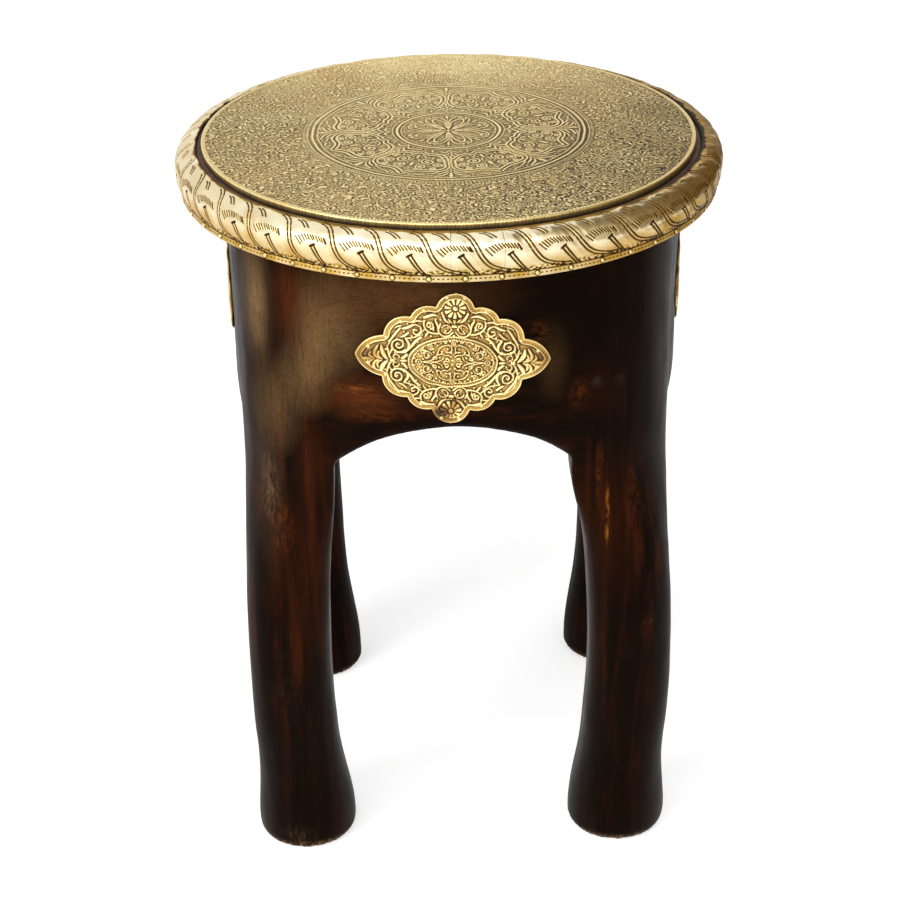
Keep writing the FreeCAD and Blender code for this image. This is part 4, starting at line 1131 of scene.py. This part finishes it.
def stained_wood(name, zones, marks, polish):
    """Dark stained and waxed wood, upright grain in the legs and level grain in the aprons.

    zones are broad soft changes of the stain, with painted sheen and painted shade among them; marks are
    ragged worn or filled spots.
    """
    look = Look(name)
    split = look.add("ShaderNodeSeparateXYZ", {0: look.place}).outputs
    ragged = look.span(look.noise(24, detail=5), 0.3, 0.7, -9 * MM, 9 * MM)

    def beyond(axis):
        place = look.plus(look.calc("ABSOLUTE", split[axis], 0.0), ragged)
        return look.span(place, (GLUE_FACE - 14) * MM, (GLUE_FACE + 12) * MM)

    # 1 in the legs, 0 in the aprons, which run along x where y is far out
    along_x = beyond("Y")
    below = look.span(split["Z"], 262 * MM, 246 * MM)
    upright = look.calc("MAXIMUM", look.calc("MINIMUM", beyond("X"), along_x), below)

    def grain(size, length, **settings):
        ways = ((1, length, 1), (length, 1, 1), (1, 1, length))
        y, x, z = (look.noise(size, way, **settings) for way in ways)
        return look.mix(upright, look.mix(along_x, y, x), z)

    broad = grain(7, 12, detail=6, bent=0.5)
    pores = grain(1.0, 14, detail=3, rough=0.6)
    patches = grain(24, 2.6, detail=6, rough=0.65)
    cloud = look.noise(60, (1, 1, 1.6), detail=4)
    colour = look.ramp(broad, (0.40, rgb(6, 2, 2)), (0.47, rgb(12, 5, 3)), (0.57, rgb(36, 13, 6)),
                       (0.70, rgb(62, 25, 9)))
    colour = look.mix(look.span(cloud, 0.44, 0.64, 0.6, 0.0), colour, rgb(8, 3, 3))
    colour = look.mix(look.span(patches, 0.54, 0.70, 0.0, 0.28), colour, rgb(56, 22, 8))
    uneven = look.span(look.noise(30, (1, 1, 1.4), detail=5, rough=0.6), 0.35, 0.65, 0.75, 1.1)
    crisp = look.span(look.noise(1.3, (1, 1, 1.6), detail=3), 0.35, 0.65, 0.8, 1.14)
    edge = look.times(uneven, crisp)
    # Zones: stains, painted sheen and highlights, and painted shade
    for centre, reach, tone, share in zones:
        there = look.times(look.spot(centre, reach, 0.9), edge, clamp=True)
        soft = look.times(there, look.span(broad, 0.3, 0.6, 0.9 * share, share))
        colour = look.mix(soft, colour, tone)
    colour = look.mix(look.span(pores, 0.50, 0.70, 0.0, 0.45), colour, rgb(9, 5, 4))
    streak = grain(1.2, 16, detail=2)
    colour = look.mix(look.span(streak, 0.66, 0.78, 0.0, 0.18), colour, rgb(96, 54, 24))
    rub = look.span(look.noise(9, detail=6, rough=0.7), 0.42, 0.66)
    rub = look.times(look.value("worn"), rub, clamp=True)
    colour = look.mix(look.times(rub, 0.10), colour, rgb(84, 46, 24))
    torn = look.span(grain(2.6, 3.0, detail=6, rough=0.75), 0.44, 0.64)
    for centre, reach, tone, share in marks:
        there = look.times(look.spot(centre, reach, 0.8), torn)
        colour = look.mix(look.times(there, share), colour, tone)
    rough = look.span(look.noise(20, (1, 1, 2), detail=5), 0.3, 0.7, *polish)
    normal = look.bump(look.plus(look.times(broad, 0.6), pores), 0.12, 0.3)
    return look.finish(Base_Color=colour, Roughness=rough, Normal=normal, Specular_IOR_Level=0.05,
                       Specular_Tint=(1.0, 0.6, 0.3, 1.0))


def plain_wood(name, light, dark, size=14, along=(6, 1, 1)):
    """Unfinished timber of the hidden parts."""
    look = Look(name)
    grain = look.noise(size, along, detail=6, bent=1.2)
    fine = look.noise(1.2, along, detail=3)
    colour = look.ramp(grain, (0.3, dark), (0.6, light))
    colour = look.mix(look.span(fine, 0.5, 0.75, 0.0, 0.4), colour, dark)
    return look.finish(Base_Color=colour, Roughness=look.span(grain, 0.3, 0.7, 0.62, 0.78),
                       Normal=look.bump(fine, 0.25, 0.5))


def steel():
    """Dull screws."""
    look = Look("screw_steel")
    cloud = look.noise(2.4)
    colour = look.ramp(cloud, (0.35, rgb(92, 78, 66)), (0.6, rgb(150, 146, 140)))
    return look.finish(Base_Color=colour, Metallic=1.0, Roughness=look.span(cloud, 0.3, 0.7, 0.55, 0.35),
                       Normal=look.bump(cloud, 0.05))


# Putting the stool together

def dress(piece, material, slot, *nodes):
    """Gives a piece its material and its body, and hides the CAD nodes that it stands for. slot is not used.
    """
    piece.data.materials.clear()
    piece.data.materials.append(material)
    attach(piece, "root")
    if nodes:
        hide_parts(*nodes)


seat_look = brass("seat_brass", rgb(250, 232, 172), rgb(180, 157, 103), rgb(48, 36, 26), 0.34, 0.25)
rim_look = brass("rim_brass", rgb(255, 251, 226), rgb(188, 150, 60), rgb(42, 28, 12), 0.22, 0.35, 0.8)
ornament_look = brass("medallion_brass", rgb(253, 242, 182), rgb(204, 166, 94), rgb(58, 32, 12), 0.30, 0.6)
nail_look = pin_brass()
# The first colour is painted sheen and the last painted shade; red is a stain
painted_sheen, brown, red, painted_shade = rgb(120, 90, 56), rgb(96, 62, 34), rgb(78, 34, 13), rgb(5, 2, 1)
scuff, rust, bare, grey = rgb(132, 104, 76), rgb(126, 62, 24), rgb(186, 140, 96), rgb(70, 66, 60)
# Each zone is a stain, painted sheen or painted shade, given as its centre, its reach along x, y and z, its
# colour and its strength
front_zones = (
    # Painted sheen down the left leg; then a red stain
    ((-104, -118, 247), (11, 60, 66), rgb(84, 60, 42), 0.6), ((-78, -119, 262), (13, 40, 36), red, 0.4),
    # Painted sheen on the left shoulder, in this line and the next
    ((-105, -118, 354), (11, 60, 50), painted_sheen, 0.85), ((-97, -118, 292), (17, 60, 34), painted_sheen, 0.6),
    ((-66, -119, 342), (26, 60, 38), painted_sheen, 0.9), ((-79, -119, 312), (19, 60, 28), painted_sheen, 0.75),
    # Painted light: paler along the top of the apron, lit from the left; then a dark band of the stain
    ((-28, -122, 361), (70, 60, 30), brown, 0.95), ((-96, -118, 340), (8, 40, 36), rgb(40, 21, 11), 0.85),
    # A red stain; then painted shade in the inner corner at x -60
    ((-87, -118, 355), (11, 40, 38), red, 0.95), ((-60, -119, 286), (14, 40, 34), rgb(24, 11, 6), 0.7),
    # A red-brown stain; then painted shade along the edge of the arch
    ((-50, -122, 300), (30, 60, 17), rgb(86, 44, 20), 0.95), ((-10, -124, 280), (60, 40, 11), painted_shade, 0.5),
    # Painted shade over the right and the top right of the apron
    ((72, -119, 340), (56, 60, 70), painted_shade, 1.1), ((40, -124, 366), (40, 40, 20), painted_shade, 0.5),
    # Painted sheen beside the medallion's right tip and down the right leg's outer edge
    ((51, -124, 318), (11, 30, 26), rgb(62, 44, 24), 0.85), ((114, -104, 345), (15, 24, 60), grey, 0.45),
    ((-88, -118, 200), (22, 60, 60), red, 0.3), ((84, -118, 215), (20, 60, 60), red, 0.25),
    # Painted shade on the lower legs
    ((-92, -118, 50), (60, 60, 100), painted_shade, 0.6), ((92, -118, 50), (60, 60, 100), painted_shade, 0.6),
    # A red stain; then a painted highlight on the left shoulder
    ((74, -119, 300), (18, 30, 26), red, 0.15), ((-75, -119, 334), (12, 60, 30), rgb(150, 112, 72), 0.35),
    # Painted highlight at the top of the left leg
    ((-104, -118, 348), (7, 60, 30), rgb(150, 118, 82), 0.55),
)
far_zones = (
    ((-90, 92, 330), (50, 50, 70), brown, 0.45), ((96, 96, 320), (44, 44, 60), brown, 0.4),
    ((20, 122, 330), (60, 60, 44), brown, 0.4), ((-122, -10, 345), (60, 70, 44), brown, 0.5),
    ((122, 20, 350), (60, 60, 40), brown, 0.4),
)
worn_marks = {
    "leg_front_left": (
        ((-103, -118, 242), (7, 30, 24), scuff, 0.6), ((-97, -118, 220), (8, 30, 22), rust, 0.5),
        ((-98, -118, 118), (12, 30, 38), scuff, 0.05), ((-89.5, -119, 325), (4.5, 12, 5.5), grey, 0.6),
        ((-100.6, -119, 308), (3.6, 12, 4.4), grey, 0.5), ((-96, -119, 9), (13, 30, 9), scuff, 0.2),
        ((-92, -120, 1), (34, 44, 5), bare, 0.9),
    ),
    "leg_front_right": (
        ((81.8, -117, 222), (1.7, 30, 20), rgb(206, 122, 42), 0.85),
        ((77, -117, 250), (3.0, 30, 26), rust, 0.5), ((98, -117, 236), (9, 30, 24), rust, 0.25),
        ((65, -119, 298), (7, 20, 12), rust, 0.4), ((75, -119, 304), (4.5, 12, 5), grey, 0.55),
        ((88, -118, 303), (5, 14, 5), grey, 0.3), ((106, -117, 154), (3, 14, 3.4), scuff, 0.9),
        ((92, -120, 1), (32, 42, 4.5), bare, 0.85),
    ),
    "leg_back_left": (((-84, 84, 1), (44, 44, 4.5), bare, 0.8),),
    "leg_back_right": (((100, 94, 1), (44, 44, 4.5), bare, 0.8),),
    "apron_front": (
        ((-50, -124, 300), (26, 20, 8), rust, 0.45), ((-42, -124, 289), (24, 20, 5), rust, 0.4),
        ((-56, -124, 305), (22, 20, 3), rgb(160, 92, 48), 0.45), ((44, -125, 336), (6, 12, 9), rust, 0.5),
        ((65, -119, 298), (7, 20, 12), rust, 0.4),
    ),
    "apron_back": (((30, 122, 300), (26, 20, 12), rust, 0.5),),
    "apron_left": (((-122, -40, 296), (20, 20, 12), rust, 0.5),),
    "apron_right": (((122, 40, 300), (20, 20, 12), rust, 0.5),),
}

dress(brass_seat(), seat_look, "seat_brass", "brass_top_sheet")
first, turn = CLOSING_START + CLOSING_TURN + SEAM_TURN, 360 - CLOSING_TURN - 2 * SEAM_TURN
dress(rim_piece("rim_sheet", first, turn), rim_look, "rim_brass", "rim_cladding")
dress(rim_piece("rim_closing", CLOSING_START, CLOSING_TURN), rim_look, "rim_brass", "rim_closing_strip")
shape = medallion_shape()
for side in BULGES:
    dress(medallion(side, shape), ornament_look, "medallion_brass", "medallion_" + side)
    dress(NODES["medallion_pins_" + side], nail_look, "pin_brass")
dress(NODES["rim_pins"], nail_look, "pin_brass")
for name, piece in cut_frame(carved_frame()).items():
    kind, place = name.split("_", 1)
    zones = front_zones if place.startswith("front") else far_zones
    polish = (0.56, 0.7) if place.startswith("back_") else (0.34, 0.50)
    look = stained_wood(kind + "_wood_" + place, zones, worn_marks[name], polish)
    dress(piece, look, kind + "_wood", name)
board_look = plain_wood("board_wood", rgb(104, 78, 62), rgb(52, 36, 28))
for name in ("top_board", "seat_disc"):
    dress(NODES[name], board_look, "board_wood")
dress(NODES["joint_dowels"], plain_wood("dowel_wood", rgb(196, 158, 110), rgb(150, 112, 70), 5), "dowel_wood")
screw_look = steel()
for name in ("leg_screws", "apron_screws"):
    dress(NODES[name], screw_look, "screw_steel")


# Studio

def studio_floor():
    """A pale floor that fades into the white background."""
    look = Look("floor")
    look.nodes.remove(look.shader)
    tone = look.ramp(look.noise(400, detail=2), (0.3, FLOOR_DARKER), (0.7, FLOOR_PALER))
    matt = look.add("ShaderNodeBsdfDiffuse", {"Color": tone}).outputs[0]
    strength = look.times(look.seen(), FLOOR_GLOW)
    glow = look.add("ShaderNodeEmission", {"Color": WHITE, "Strength": strength}).outputs[0]
    both = look.add("ShaderNodeAddShader", {0: matt, 1: glow}).outputs[0]
    look.put(look.nodes["Material Output"].inputs["Surface"], both)
    turn = 2 * np.pi * np.arange(FLOOR_SIDES) / FLOOR_SIDES
    rings = [np.stack([r * np.cos(turn), r * np.sin(turn), 0 * turn], 1) for r in FLOOR_RADII]
    j = 1 + np.arange(FLOOR_SIDES)
    k = 1 + j % FLOOR_SIDES
    faces = [np.stack([0 * j, j, k], -1), np.stack([j, j + FLOOR_SIDES, k + FLOOR_SIDES, k], -1)]
    floor = make_mesh("floor", np.vstack([np.zeros((1, 3))] + rings) + (0, 0, FLOOR_LEVEL), faces)
    floor.data.materials.append(look.owner)


def studio_card(name, corners, light, dark):
    """A card beside the stool that the brass and the polish reflect, paler at its first corner."""
    card = make_mesh(name, np.array(corners, float), [np.array([[0, 1, 2, 3]])])
    look = Look(name)
    start, end = (np.array(corners[i], float) * MM for i in (0, 1))
    way = end - start
    away = look.vector("SUBTRACT", look.place, start)
    share = look.vector("DOT_PRODUCT", away, way / (way @ way), out="Value")
    tone = look.plus(share, look.span(look.noise(500), 0.3, 0.7, -0.06, 0.06))
    middle = [0.42 * a + 0.1 * b for a, b in zip(light, dark)]
    stops = ((0.0, light), (0.22, middle), (0.45, dark))
    colour = look.ramp(tone, *((place, (*part, 1)) for place, part in stops))
    card.data.materials.append(look.finish(Base_Color=colour, Roughness=0.9))
    card.visible_camera = card.visible_shadow = card.visible_diffuse = False


def lamp(name, place, aim, size, power):
    """A flat lamp at a place, turned to what it lights."""
    data = bpy.data.lights.new(name, "AREA")
    data.shape, data.energy = "RECTANGLE", power
    data.size, data.size_y = size
    made = add_object(name, data)
    turned = (Vector(aim) - Vector(place)).to_track_quat("-Z", "Y").to_matrix().to_4x4()
    made.matrix_world = Matrix.Translation(Vector(place) * MM) @ turned
    made.visible_camera = False


def studio_world():
    """Soft white light, behind which the background itself is plain white."""
    world = NodeTree(bpy.data.worlds.new("studio"))
    world.nodes.clear()
    soft, white = (
        world.add("ShaderNodeBackground", {"Color": WHITE, "Strength": strength}).outputs[0]
        for strength in (WORLD_LIGHT, 1.0)
    )
    both = world.add("ShaderNodeMixShader", {0: world.seen(), 1: soft, 2: white}).outputs[0]
    world.add("ShaderNodeOutputWorld", {"Surface": both})
    bpy.context.scene.world = world.owner


def studio_camera():
    """The photograph's camera."""
    pitch, yaw, roll = (math.radians(v) for v in (CAMERA_PITCH, CAMERA_YAW, CAMERA_ROLL))
    ahead = Vector((math.sin(yaw) * math.cos(pitch), math.cos(yaw) * math.cos(pitch), -math.sin(pitch)))
    right = Vector((math.cos(yaw), -math.sin(yaw), 0))
    up = right.cross(ahead)
    side = right * math.cos(roll) + up * math.sin(roll)
    top = up * math.cos(roll) - right * math.sin(roll)
    data = bpy.data.cameras.new("camera")
    data.sensor_width, data.lens = SENSOR, FOCAL_PIXELS / PHOTO_PIXELS * SENSOR
    camera = add_object("camera", data)
    place = Vector(CAMERA_PLACE) * MM
    camera.matrix_world = Matrix([
        (side.x, top.x, -ahead.x, place.x), (side.y, top.y, -ahead.y, place.y),
        (side.z, top.z, -ahead.z, place.z), (0, 0, 0, 1),
    ])
    bpy.context.scene.camera = camera


studio_floor()
studio_card("card_right", CARD_CORNERS, CARD_LIGHT, CARD_DARK)
studio_world()
for name, settings in LAMPS.items():
    lamp(name, *settings)
studio_camera()
bpy.context.scene.view_settings.view_transform = "Standard"
